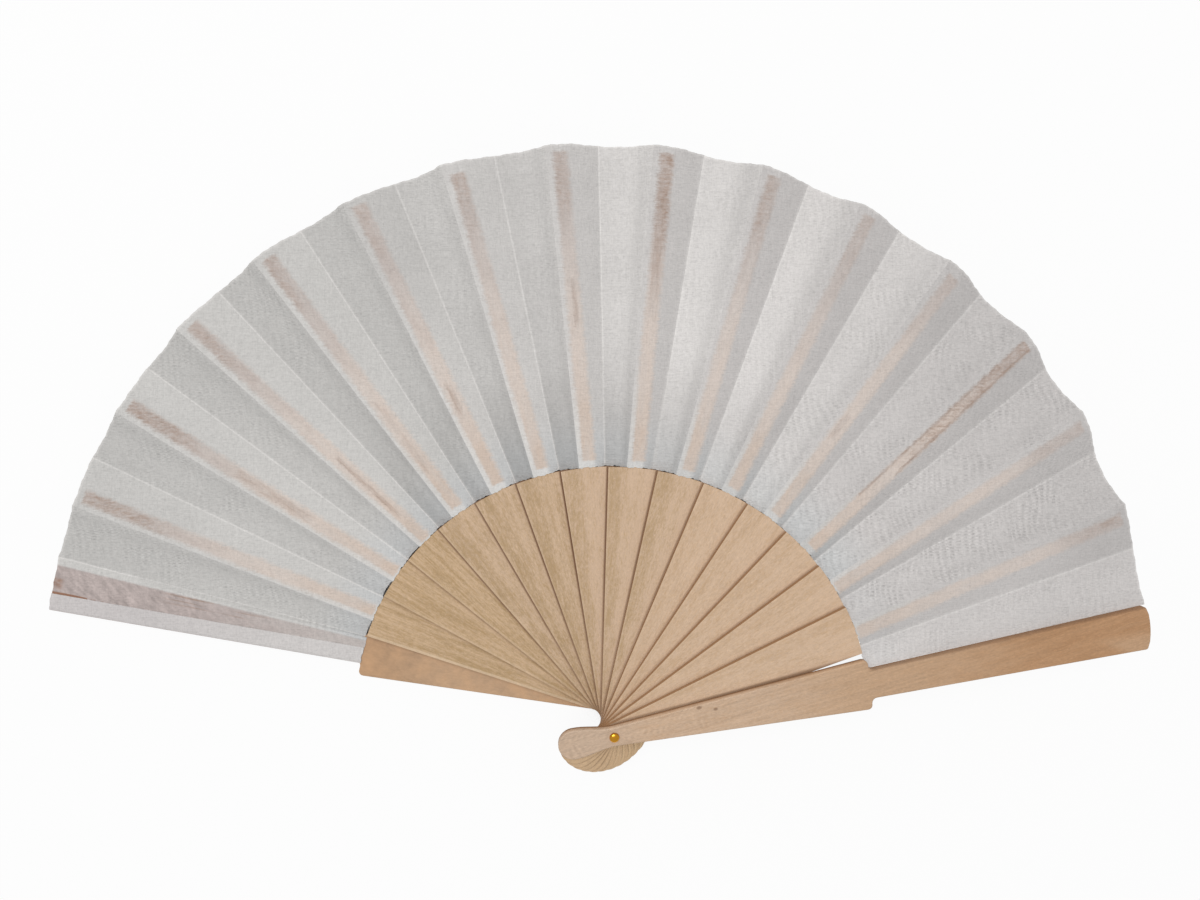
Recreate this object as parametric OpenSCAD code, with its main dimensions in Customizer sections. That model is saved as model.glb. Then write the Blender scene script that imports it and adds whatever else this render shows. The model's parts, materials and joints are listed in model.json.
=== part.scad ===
// Folding silk fan, shown open: wooden sticks on one rivet, and a pleated silk leaf on their outer halves.
// The rivet stands along +Z through the origin, and the fan lies on its back: the rear guard's back is
// the plane z = 0, and each further stick lies one layer higher. The leaf opens towards +Y.
// A stick's own frame has +X from the rivet to its tip and +Y to its left, towards the rear guard.
// Stick 0 is the rear guard, sticks 1 to rib_count are the ribs, and the last stick is the front guard.

/* [Sticks] */
// Reach of the guards, from the rivet to the tip
guard_reach = 209; // [180:0.5:260]
// Reach of the ribs, from the rivet to the end of the blade
rib_reach = 205.5; // [180:0.5:260]
// Reach of the heads behind the rivet
head_reach = 20.5; // [16:0.5:30]
// Width of a stick's round head
head_w = 11.2; // [9:0.1:16]
// Width of a stick at the rivet
waist_w = 7.3; // [5:0.1:9]
// Width of a stick at its shoulders
shoulder_w = 19.5; // [16:0.1:26]
// Distance from the rivet to the shoulders
shoulder_r = 97; // [80:0.5:120]
// Width of a guard's leaf part at its foot, just past the shoulders
guard_foot_w = 11.4; // [8:0.1:14]
// Width of a guard's leaf part at its tip
guard_tip_w = 17.3; // [12:0.1:20]
// Width of a rib's blade at its foot
blade_foot_w = 5.4; // [3:0.1:7]
// Width of a rib's blade at its tip
blade_tip_w = 4.7; // [3:0.1:7]
// Corner radius of a guard's shoulders
shoulder_corner_r = 1.8; // [0.8:0.1:2.4]
// Corner radius of a guard's tip
tip_corner_r = 1.2; // [1:0.1:4]
// Bulge of a guard's tip past its corners
tip_bulge = 1.2; // [0.4:0.1:2.5]
// Radius of the guards' softened long edges
edge_r = 0.5; // [0.2:0.05:0.8]

/* [Layers] */
// Thickness of the guards
guard_t = 2.6; // [2:0.1:4]
// Thickness of a rib's gorge half
rib_t = 1.5; // [1.2:0.05:2]
// Gap between two neighbouring sticks
stick_gap = 0.1; // [0.05:0.01:0.3]
// Wood taken off the underside of a stick's leaf half, as room for the folded silk
leaf_room = 0.4; // [0.3:0.05:0.6]

/* [Leaf] */
// Outer radius of the leaf
leaf_r = 209; // [180:0.5:260]
// Gap between the shoulders and the leaf's inner edge
leaf_gap = 0.5; // [0.4:0.1:2]
// Thickness of the silk with its glue
silk_t = 0.2; // [0.1:0.01:0.25]
// Turn from a stick's axis to the valley fold on its right
valley_turn = 3.9; // [3.5:0.1:4.5]
// Depth of a valley fold under its stick's top, at the leaf's rim
fold_depth = 3.6; // [2:0.1:5]
// Depth of the first and the last valley folds, beside the guards, at the rim
end_fold_depth = 1; // [0.5:0.1:1.5]
// Climb from one valley fold to the next, where the folds deepen from the first one on, at the rim
fold_climb = 0.5; // [0.45:0.05:0.8]
// Reach of the silk past a blade's left edge, at the leaf's inner edge
ridge_foot = 0.35; // [0.2:0.05:1]
// Reach of the silk past a blade's left edge, at the rim
ridge_rim = 2; // [0.5:0.1:3]
// Reach of the leaf's hem to the left of the rear guard's axis, at the leaf's inner edge
hem_foot = 4.7; // [4:0.1:5.5]
// Reach of the leaf's hem to the left of the rear guard's axis, at the rim
hem_rim = 8.5; // [7.5:0.1:9.5]
// Width of the turned hem, at the leaf's inner edge
hem_foot_w = 7.6; // [3:0.1:9]
// Width of the turned hem, at the rim
hem_rim_w = 6.1; // [3:0.1:12]
// Reach of the hem past the rear guard's left edge
hem_reach = 0.3; // [0.1:0.1:1]
// Width of the silk glued under the front guard
tab_w = 5; // [3:0.5:8]
// Gap at a ridge fold between the free panel and the next glued panel
fold_gap = 0.2; // [0.1:0.05:0.4]

/* [Rivet] */
// Diameter of the rivet pin
pin_d = 2; // [1.5:0.1:3]
// Radial clearance between the pin and the sticks' bores
pin_clearance = 0.05; // [0.02:0.01:0.1]
// Diameter of the rivet's domed head
cap_d = 3.6; // [3:0.1:5]
// Height of the rivet's domed head
cap_h = 1.1; // [0.6:0.1:1.5]
// Diameter of the flat washer let into the rear guard
washer_d = 4.6; // [4:0.1:6]
// Thickness of the washer
washer_t = 0.5; // [0.3:0.1:0.8]
// Depth of the washer's outer face under the rear guard's back
washer_sink = 0.1; // [0.05:0.05:0.3]

/* [Hidden] */
// Turn of the rear guard above the -X axis, and each further stick's turn from the one below it.
first_turn = 14.5;
open_steps = [9.9, 10.4, 10.1, 9.8, 10.0, 9.8, 9.9, 10.2, 10.6, 10.2, 10.5, 10.4, 10.4, 10.9, 12.5];
front = len(open_steps);
rib_count = front - 1;
function two(i) = str(i < 10 ? "0" : "", i);
RIBS = [for (i = [1 : rib_count]) str("rib_", two(i))];
PANELS = [for (i = [0 : rib_count]) str("leaf_panel_", two(i))];
FOLDS = [for (i = [0 : rib_count]) str("leaf_fold_", two(i))];
$fn = 128;

wood = "burlywood";
guard_wood = "tan";
silk = "gainsboro";
free_silk = "lightgray";
brass = "goldenrod";

// Layers. top(i) is the height of stick i's upper face.
layer = rib_t + stick_gap;
function top(i) = guard_t + i * layer;
front_z = top(rib_count) + stick_gap;
front_top = front_z + guard_t;
// Underside of the front guard's leaf half, where the end of the leaf is glued.
tab_z = front_z + leaf_room;

// Turns. The sum runs over the steps below stick i.
function turned(i) = i == 0 ? first_turn : turned(i - 1) + open_steps[i - 1];
function heading(i) = 180 - turned(i);

// Places in a stick's frame.
leaf_in = leaf_r > shoulder_r ? shoulder_r + leaf_gap : leaf_gap;
head_x = head_w / 2 - head_reach;
function share_of_leaf(r) = (r - shoulder_r) / (leaf_r - shoulder_r);
function blade_half(r) = (blade_foot_w + (blade_tip_w - blade_foot_w) * share_of_leaf(r)) / 2;
function guard_half(r) = (guard_foot_w + (guard_tip_w - guard_foot_w) * share_of_leaf(r)) / 2;
function ridge_y(r) = blade_half(r) + ridge_foot + (ridge_rim - ridge_foot) * share_of_leaf(r);
function hem_y(r) = mix(hem_foot, hem_rim, share_of_leaf(r));
function hem_width(r) = mix(hem_foot_w, hem_rim_w, share_of_leaf(r));

// Depth of valley fold i at radius r. The folds beside the guards are shallow, and the lowest ones
// deepen step by step, so that each lies clear above the one below it when the fan is shut.
function rim_depth(i) =
    i == rib_count ? end_fold_depth : min(fold_depth, end_fold_depth + max(0, i - 1) * (layer - fold_climb));
function valley_z(i, r) = top(i) - rim_depth(i) * r / leaf_r;

// A point at radius r and y to the left of stick i's axis, at height z.
function at(i, r, y, z) =
    let (x = sqrt(r * r - y * y), a = heading(i))
    [x * cos(a) - y * sin(a), x * sin(a) + y * cos(a), z];
// The same place as an angle from the +X axis.
function bearing(i, r, y) = heading(i) + asin(y / r);
function polar(r, a, z) = [r * cos(a), r * sin(a), z];
function mix(a, b, s) = a + (b - a) * s;

// Outlines of the sticks, as points along one side from the head's end to the tip.
head_steps = 8;
neck_steps = 8;
corner_steps = 4;
tip_steps = 3;
function arc(x, y, r, a0, a1, n) =
    [for (k = [0 : n]) let (a = mix(a0, a1, k / n)) [x + r * cos(a), y + r * sin(a)]];
function neck_half(x) = mix(head_w, waist_w, (1 - cos(180 * (x - head_x) / -head_x)) / 2) / 2;
function head_side() = arc(head_x, 0, head_w / 2, 180, 90, head_steps);
function neck_side() =
    [for (k = [1 : neck_steps]) let (x = head_x * (1 - k / neck_steps)) [x, neck_half(x)]];
flare = atan((shoulder_w - waist_w) / 2 / shoulder_r);
function shoulder_side() =
    let (c = shoulder_corner_r)
    arc(shoulder_r - c, shoulder_w / 2 - c, c, 90 + flare, 0, corner_steps);
// The leaf part's corner is eased into the shoulder by the same radius, the other way round.
function foot_side(foot) =
    let (c = shoulder_corner_r)
    arc(shoulder_r + c, foot + c, c, 180, 270, corner_steps);
function tip_side(tip) =
    let (c = tip_corner_r, start = tip - c * tip_corner_share)
    concat(
        arc(guard_reach - tip_bulge - c, tip - c, c, 90, tip_corner_turn, corner_steps),
        [for (k = [1 : tip_steps]) let (s = k / tip_steps)
            [guard_reach - tip_bulge * tip_bulge_share * pow(1 - s, 2), start * (1 - s)]]);
// Where the tip's corner ends, as a turn from the stick's axis, and where its bulge starts, as shares
// of the bulge and of the corner's radius.
tip_corner_turn = 20;
tip_bulge_share = 0.8;
tip_corner_share = 0.35;
function guard_side(foot, tip) =
    concat(head_side(), neck_side(), shoulder_side(), foot_side(foot), tip_side(tip));

// A flat stick with softened edges, lofted from inset copies of its outline.
// left and right run from the head's end to the tip and have as many points.
function flip(side) = [for (p = side) [p[0], -p[1]]];
function unit(v) = v / norm(v);
function inset(ring, k, d) =
    let (n = len(ring), a = ring[(k + n - 1) % n], b = ring[(k + 1) % n], t = unit(b - a))
    [ring[k][0] + t[1] * d, ring[k][1] - t[0] * d];
edge_steps = 2;
module soft_plate(left, right, z, t) {
    n = len(left) - 1;
    ring = concat(left, [for (k = [n - 1 : -1 : 1]) right[k]]);
    m = len(ring);
    // Height over a face and inset of each level of a rounded edge, then the levels from back to front.
    rounding = [for (k = [0 : edge_steps]) let (a = 90 * k / edge_steps) edge_r * [1 - cos(a), 1 - sin(a)]];
    back = [for (e = rounding) [z + e[0], e[1]]];
    face = [for (k = [edge_steps : -1 : 0]) [z + t - rounding[k][0], rounding[k][1]]];
    levels = concat(back, face);
    last = len(levels) - 1;
    points = [for (l = levels) for (k = [0 : m - 1]) let (p = inset(ring, k, l[1])) [p[0], p[1], l[0]]];
    walls = [for (j = [0 : last - 1]) for (k = [0 : m - 1]) let (q = (k + 1) % m)
        each [[j * m + k, (j + 1) * m + k, (j + 1) * m + q], [j * m + k, (j + 1) * m + q, j * m + q]]];
    // Each cap is a strip of triangles between the left and the right side.
    function l(k) = k;
    function r(k) = k == 0 ? 0 : k == n ? n : m - k;
    strip = [for (k = [0 : n - 1]) each [[l(k), l(k + 1), r(k + 1)], [l(k), r(k + 1), r(k)]]];
    flat = [for (f = strip) if (f[0] != f[1] && f[1] != f[2] && f[0] != f[2]) f];
    bottom = [for (f = flat) [f[0], f[1], f[2]]];
    lid = [for (f = flat) [last * m + f[0], last * m + f[2], last * m + f[1]]];
    polyhedron(points, concat(walls, bottom, lid));
}

// A sheet with thickness t under its upper side, between an inner and an outer row of points.
module sheet(inner, outer, t) {
    n = len(inner);
    low = [0, 0, -t];
    points = concat(inner, outer, [for (p = inner) p + low], [for (p = outer) p + low]);
    i = 0;
    o = n;
    il = 2 * n;
    ol = 3 * n;
    skin = [for (k = [0 : n - 2]) each [
        [i + k, o + k, o + k + 1], [i + k, o + k + 1, i + k + 1],
        [il + k, ol + k + 1, ol + k], [il + k, il + k + 1, ol + k + 1],
        [i + k, i + k + 1, il + k + 1], [i + k, il + k + 1, il + k],
        [o + k, ol + k, ol + k + 1], [o + k, ol + k + 1, o + k + 1]]];
    e = n - 1;
    ends = [[i, il, ol], [i, ol, o], [i + e, o + e, ol + e], [i + e, ol + e, il + e]];
    polyhedron(points, concat(skin, ends));
}

module bore(z, t) {
    translate([0, 0, z - overrun]) cylinder(d = pin_d + 2 * pin_clearance, h = t + 2 * overrun);
}

// How far a cut runs past what it cuts.
overrun = 1;

// Outline of a stick's gorge and head: round head, eased neck, and straight flare to the shoulders' arc.
module gorge_shape() {
    side = concat(neck_side(), [[shoulder_r, shoulder_w / 2]]);
    half = concat([[head_x, head_w / 2]], side);
    translate([head_x, 0]) circle(d = head_w);
    intersection() {
        polygon(concat(half, [for (k = [len(half) - 1 : -1 : 0]) [half[k][0], -half[k][1]]]));
        circle(r = shoulder_r);
    }
}

module blade_shape() {
    foot = shoulder_r - shoulder_w / 2;
    polygon([
        [foot, blade_foot_w / 2], [rib_reach - blade_tip_w / 2, blade_tip_w / 2],
        [rib_reach - blade_tip_w / 2, -blade_tip_w / 2], [foot, -blade_foot_w / 2]]);
    translate([rib_reach - blade_tip_w / 2, 0]) circle(d = blade_tip_w);
}

module rib(i) {
    z = top(i) - rib_t;
    color(wood) rotate([0, 0, heading(i)]) difference() {
        union() {
            translate([0, 0, z]) linear_extrude(rib_t) gorge_shape();
            translate([0, 0, z + leaf_room]) linear_extrude(rib_t - leaf_room) blade_shape();
        }
        bore(z, rib_t);
    }
}

// Its leaf half follows the hem on the left, and is as wide as the front guard's on the right.
module rear_guard() {
    left = guard_side(hem_y(leaf_in) - hem_reach, hem_y(guard_reach) - hem_reach);
    right = guard_side(guard_foot_w / 2, guard_tip_w / 2);
    seat_d = washer_d + 2 * pin_clearance;
    color(guard_wood) rotate([0, 0, heading(0)]) difference() {
        soft_plate(left, flip(right), 0, guard_t);
        bore(0, guard_t);
        translate([0, 0, -overrun]) cylinder(d = seat_d, h = washer_sink + washer_t + overrun);
    }
}

module front_guard() {
    side = guard_side(guard_foot_w / 2, guard_tip_w / 2);
    color(guard_wood) rotate([0, 0, heading(front)]) difference() {
        soft_plate(side, flip(side), front_z, guard_t);
        bore(front_z, guard_t);
        translate([0, 0, front_z - overrun]) linear_extrude(leaf_room + overrun) difference() {
            circle(r = guard_reach + overrun);
            circle(r = shoulder_r);
        }
    }
}

// Steps across the flat and the slanted part of a glued panel, and across a free panel.
flat_steps = 2;
slope_steps = 3;

// Glued panel of stick i: flat on the stick, then down to the valley fold on its right.
function flat_start(i, r) = i == 0 ? hem_y(r) : ridge_y(r);
function flat_end(i, r) = i == 0 ? -guard_half(r) : -blade_half(r);
function panel_row(i, r) =
    let (a = bearing(i, r, flat_start(i, r)), b = bearing(i, r, flat_end(i, r)),
         c = heading(i) - valley_turn, z = top(i) + silk_t, zv = valley_z(i, r))
    concat([for (k = [0 : flat_steps]) polar(r, mix(a, b, k / flat_steps), z)],
           [for (k = [1 : slope_steps]) polar(r, mix(b, c, k / slope_steps), mix(z, zv, k / slope_steps))]);

module leaf_panel(i) {
    color(silk) sheet(panel_row(i, leaf_in), panel_row(i, leaf_r), silk_t);
}

// Free panel of stick i: from its valley fold up to the ridge fold of the next stick.
function fold_end(i, r) = i < rib_count ? ridge_y(r) + fold_gap : guard_half(r);
function fold_row(i, r) =
    let (a = heading(i) - valley_turn, b = bearing(i + 1, r, fold_end(i, r)),
         za = valley_z(i, r), zb = i < rib_count ? top(i + 1) + silk_t : tab_z)
    [for (k = [0 : slope_steps]) polar(r, mix(a, b, k / slope_steps), mix(za, zb, k / slope_steps))];

module leaf_fold(i) {
    color(free_silk) sheet(fold_row(i, leaf_in), fold_row(i, leaf_r), silk_t);
}

// Hem of the leaf: its end turned over flat, along the rear guard's left edge.
function hem_row(r) =
    let (a = bearing(0, r, hem_y(r)), b = bearing(0, r, hem_y(r) - hem_width(r)), z = top(0) + 2 * silk_t)
    [for (k = [0 : flat_steps]) polar(r, mix(a, b, k / flat_steps), z)];

module leaf_hem() {
    color(silk) sheet(hem_row(leaf_in), hem_row(leaf_r), silk_t);
}

// Other end of the leaf, glued under the front guard along its left edge.
module leaf_end_tab() {
    tab_end = guard_reach - tip_bulge - tip_corner_r;
    foot = guard_half(leaf_in);
    tip = guard_half(tab_end);
    color(silk) rotate([0, 0, heading(front)]) translate([0, 0, tab_z - silk_t]) linear_extrude(silk_t)
        polygon([
            [leaf_in, foot - fold_gap], [tab_end, tip - fold_gap],
            [tab_end, tip - tab_w], [leaf_in, foot - tab_w]]);
}

module rivet_pin() {
    pin_h = front_top + pin_clearance - washer_sink;
    color(brass) translate([0, 0, washer_sink]) cylinder(d = pin_d, h = pin_h);
}

// Domed head: the part of a sphere above the front guard.
module rivet_head() {
    dome_r = (pow(cap_d / 2, 2) + pow(cap_h, 2)) / (2 * cap_h);
    z = front_top + pin_clearance;
    color(brass) intersection() {
        translate([0, 0, z + cap_h - dome_r]) sphere(r = dome_r);
        translate([0, 0, z]) cylinder(d = cap_d, h = cap_h + overrun);
    }
}

module rivet_washer() {
    color(brass) translate([0, 0, washer_sink]) difference() {
        cylinder(d = washer_d, h = washer_t);
        bore(0, washer_t);
    }
}

rear_guard();
front_guard();
for (i = [1 : rib_count]) rib(i);
for (i = [0 : rib_count]) leaf_panel(i);
for (i = [0 : rib_count]) leaf_fold(i);
leaf_hem();
leaf_end_tab();
rivet_pin();
rivet_head();
rivet_washer();
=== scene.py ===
"""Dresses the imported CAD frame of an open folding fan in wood, silk and brass.

The sticks, the rivet's pin and its washer stay as the CAD makes them and get their finishes. The leaf is made
again as cloth: a glued panel on every stick, a free panel from each valley to the next stick's ridge, a hem and
a tab. Lengths are in millimetres until a mesh is made, and every grid of points is worked out as whole arrays.
"""

import json
import logging
import math
from dataclasses import dataclass, field
from enum import Enum
from typing import Any

import bmesh
import bpy
import numpy as np
from mathutils import Euler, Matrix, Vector


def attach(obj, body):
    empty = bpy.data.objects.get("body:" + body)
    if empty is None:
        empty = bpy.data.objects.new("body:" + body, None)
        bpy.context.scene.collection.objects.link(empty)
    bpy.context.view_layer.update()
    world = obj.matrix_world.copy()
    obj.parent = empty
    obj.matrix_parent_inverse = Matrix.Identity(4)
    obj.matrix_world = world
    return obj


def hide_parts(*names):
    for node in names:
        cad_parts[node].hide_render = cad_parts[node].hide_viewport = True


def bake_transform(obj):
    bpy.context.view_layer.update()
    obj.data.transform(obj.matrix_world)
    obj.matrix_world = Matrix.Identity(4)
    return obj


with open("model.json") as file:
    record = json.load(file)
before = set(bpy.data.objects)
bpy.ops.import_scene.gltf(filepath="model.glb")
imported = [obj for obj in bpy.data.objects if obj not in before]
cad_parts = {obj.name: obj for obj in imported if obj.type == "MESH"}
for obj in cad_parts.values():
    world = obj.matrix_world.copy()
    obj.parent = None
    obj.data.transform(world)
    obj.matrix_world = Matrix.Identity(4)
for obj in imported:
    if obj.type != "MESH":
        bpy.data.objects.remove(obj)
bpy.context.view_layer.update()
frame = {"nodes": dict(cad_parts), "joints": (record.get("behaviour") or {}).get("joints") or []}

MM = 0.001
Colour = tuple[float, float, float]
Array = np.ndarray
SEED_STEPS = (7.31, 3.17, 5.23)
SAG_LEVELS = 400
INNER_STRAY = 0.22
RIM_STRAY = 0.16
log = logging.getLogger("fan")


def paint(red: float, green: float, blue: float) -> Colour:
    """Turns a colour written on the usual 0 to 255 scale into the linear numbers that a shader takes.

    Args:
        red: Red, from 0 to 255.
        green: Green, from 0 to 255.
        blue: Blue, from 0 to 255.

    Returns:
        The linear colour.
    """
    shares = (red / 255, green / 255, blue / 255)
    return tuple(s / 12.92 if s <= 0.04045 else ((s + 0.055) / 1.055) ** 2.4 for s in shares)


def mix(start: Array | float, end: Array | float, share: Array | float) -> Array | float:
    """Goes from start to end in a straight line as share goes from 0 to 1."""
    return start + (end - start) * share


def ramp(value: float, low: float, high: float) -> float:
    """Climbs from 0 to 1 in a straight line as value goes from low to high, and stays within."""
    return min(1.0, max(0.0, (value - low) / (high - low)))


def stand(name: str, data: Any) -> bpy.types.Object:
    """Adds an object to the scene, at the origin.

    Args:
        name: The object's name.
        data: Its mesh, lamp or camera.

    Returns:
        The object.
    """
    made = bpy.data.objects.new(name, data)
    bpy.context.scene.collection.objects.link(made)
    return made


def repaint(name: str, material: bpy.types.Material) -> None:
    """Gives a CAD node its finish.

    Args:
        name: The node's name.
        material: The finish.
    """
    materials = frame["nodes"][name].data.materials
    materials.clear()
    materials.append(material)
    log.info("dressed %s", name)


# ---------------------------------------------------------------------------------------------------------------
# Shader expressions


class Shade:
    """One output socket of a node tree. Arithmetic on it adds the Math nodes of the expression."""

    def __init__(self, nodes: "Nodes", socket: bpy.types.NodeSocket) -> None:
        """Wraps a socket.

        Args:
            nodes: The tree that the socket is in.
            socket: The socket.
        """
        self.nodes = nodes
        self.socket = socket

    def math(self, operation: str, *terms: Any) -> "Shade":
        """Adds one Math node and returns its output."""
        return self.nodes.node("ShaderNodeMath", {"operation": operation}, dict(enumerate(terms)))

    def __add__(self, other: Any) -> "Shade":
        """self + other."""
        return self.math("ADD", self, other)

    def __radd__(self, other: Any) -> "Shade":
        """other + self."""
        return self.math("ADD", other, self)

    def __sub__(self, other: Any) -> "Shade":
        """self - other."""
        return self.math("SUBTRACT", self, other)

    def __rsub__(self, other: Any) -> "Shade":
        """other - self."""
        return self.math("SUBTRACT", other, self)

    def __mul__(self, other: Any) -> "Shade":
        """self * other."""
        return self.math("MULTIPLY", self, other)

    def __rmul__(self, other: Any) -> "Shade":
        """other * self."""
        return self.math("MULTIPLY", other, self)

    def __abs__(self) -> "Shade":
        """The size of self without its sign."""
        return self.math("ABSOLUTE", self)

    def sine(self) -> "Shade":
        """The sine of self, in radians."""
        return self.math("SINE", self)

    def root(self) -> "Shade":
        """The square root of self."""
        return self.math("SQRT", self)

    def either(self, other: Any) -> "Shade":
        """The larger of self and other."""
        return self.math("MAXIMUM", self, other)

    def step(self, low: Any, high: Any) -> "Shade":
        """Climbs smoothly from 0 to 1 as self goes from low to high, and falls if high is the lower one.

        Args:
            low: The value that gives 0.
            high: The value that gives 1.

        Returns:
            The eased share, kept within 0 and 1.
        """
        settings = {"interpolation_type": "SMOOTHSTEP", "clamp": True}
        return self.nodes.node("ShaderNodeMapRange", settings, {0: self, 1: low, 2: high, 3: 0.0, 4: 1.0})

    def within(self, low: Any, high: Any, soft: float) -> "Shade":
        """Gives 1 while self is between low and high, with edges that are soft wide, and 0 outside."""
        return self.step(low - soft, low + soft) * (1 - self.step(high - soft, high + soft))


class Nodes:
    """The node tree of one material, with one method that makes any node."""

    def __init__(self, name: str) -> None:
        """Makes an empty material.

        Args:
            name: The material's name.
        """
        self.material = bpy.data.materials.new(name)
        self.material.use_nodes = True
        self.tree = self.material.node_tree
        self.tree.nodes.clear()

    def node(self, kind: str, settings: dict[str, Any] | None = None, values: dict[Any, Any] | None = None,
             out: int = 0) -> Shade:
        """Makes a node: its settings come first, and then the values or links of its sockets.

        Args:
            kind: The node's type.
            settings: The node's own settings by name, where stops are the stops of its colour ramp.
            values: A number, colour, vector or Shade for each socket, by its name or place.
            out: The place of the output that is returned.

        Returns:
            The output socket, wrapped.
        """
        made = self.tree.nodes.new(kind)
        for name, setting in (settings or {}).items():
            setattr(made, name, setting)
        for key, value in (values or {}).items():
            socket = made.inputs[key]
            if isinstance(value, Shade):
                self.tree.links.new(value.socket, socket)
            elif hasattr(value, "__len__") and socket.type == "RGBA":
                socket.default_value = (*value[:3], 1.0)
            else:
                socket.default_value = value
        return Shade(self, made.outputs[out])

    def map(self, name: str) -> Shade:
        """A UV map of the piece, as a vector."""
        return self.node("ShaderNodeUVMap", {"uv_map": name})

    def parts(self, vector: Shade) -> tuple[Shade, Shade, Shade]:
        """Takes a vector apart.

        Args:
            vector: The vector.

        Returns:
            Its three numbers.
        """
        first = self.node("ShaderNodeSeparateXYZ", {}, {0: vector})
        sockets = first.socket.node.outputs
        return first, Shade(self, sockets[1]), Shade(self, sockets[2])

    def place(self, vector: Shade, scale: Colour, shift: Colour) -> Shade:
        """Scales a vector and then moves it."""
        return self.node("ShaderNodeVectorMath", {"operation": "MULTIPLY_ADD"}, {0: vector, 1: scale, 2: shift})

    def turned(self, vector: Shade, degrees: float, scale: float = 1.0) -> Shade:
        """Scales a vector evenly and turns it round Z."""
        values = {"Vector": vector, "Rotation": (0.0, 0.0, math.radians(degrees)), "Scale": (scale,) * 3}
        return self.node("ShaderNodeMapping", {"vector_type": "POINT"}, values)

    def noise(self, vector: Shade, scale: Colour, seed: float, detail: float = 2.0, rough: float = 0.5,
              twist: float = 0.0) -> Shade:
        """Noise round 0, from about -0.3 to 0.3, in cells of 1 / scale of the vector's unit.

        Args:
            vector: Where the noise is read.
            scale: Cells for each unit along the three axes.
            seed: Moves the pattern, so that no two pieces share it.
            detail: How many finer layers are added.
            rough: How strong the finer layers are.
            twist: How far the pattern is distorted.

        Returns:
            The noise.
        """
        spot = self.place(vector, scale, tuple(seed * step for step in SEED_STEPS))
        values = {"Vector": spot, "Scale": 1.0, "Detail": detail, "Roughness": rough, "Distortion": twist}
        return self.node("ShaderNodeTexNoise", {"noise_dimensions": "3D"}, values) - 0.5

    def blend(self, share: Any, first: Any, second: Any) -> Shade:
        """A colour that goes from first to second as share goes from 0 to 1."""
        settings = {"data_type": "RGBA", "blend_type": "MIX", "clamp_factor": True}
        return self.node("ShaderNodeMix", settings, {0: share, 6: first, 7: second}, out=2)

    def scaled(self, colour: Any, amount: Any) -> Shade:
        """A colour times a number."""
        return self.node("ShaderNodeVectorMath", {"operation": "SCALE"}, {0: colour, 3: amount})

    def bump(self, height: Shade, distance: float, strength: float = 1.0) -> Shade:
        """The normal of a surface with this relief, whose height of 1 stands distance metres proud."""
        values = {"Strength": strength, "Distance": distance, "Height": height}
        return self.node("ShaderNodeBump", {}, values)

    def finish(self, values: dict[str, Any]) -> bpy.types.Material:
        """Ends the tree in one Principled shader.

        Args:
            values: The shader's sockets, by name.

        Returns:
            The finished material.
        """
        return self.show(self.node("ShaderNodeBsdfPrincipled", {}, values))

    def show(self, surface: Shade) -> bpy.types.Material:
        """Ends the tree in any shader.

        Args:
            surface: The shader's output.

        Returns:
            The finished material.
        """
        end = self.tree.nodes.new("ShaderNodeOutputMaterial")
        self.tree.links.new(surface.socket, end.inputs["Surface"])
        return self.material


# ---------------------------------------------------------------------------------------------------------------
# The plan of the fan


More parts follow.
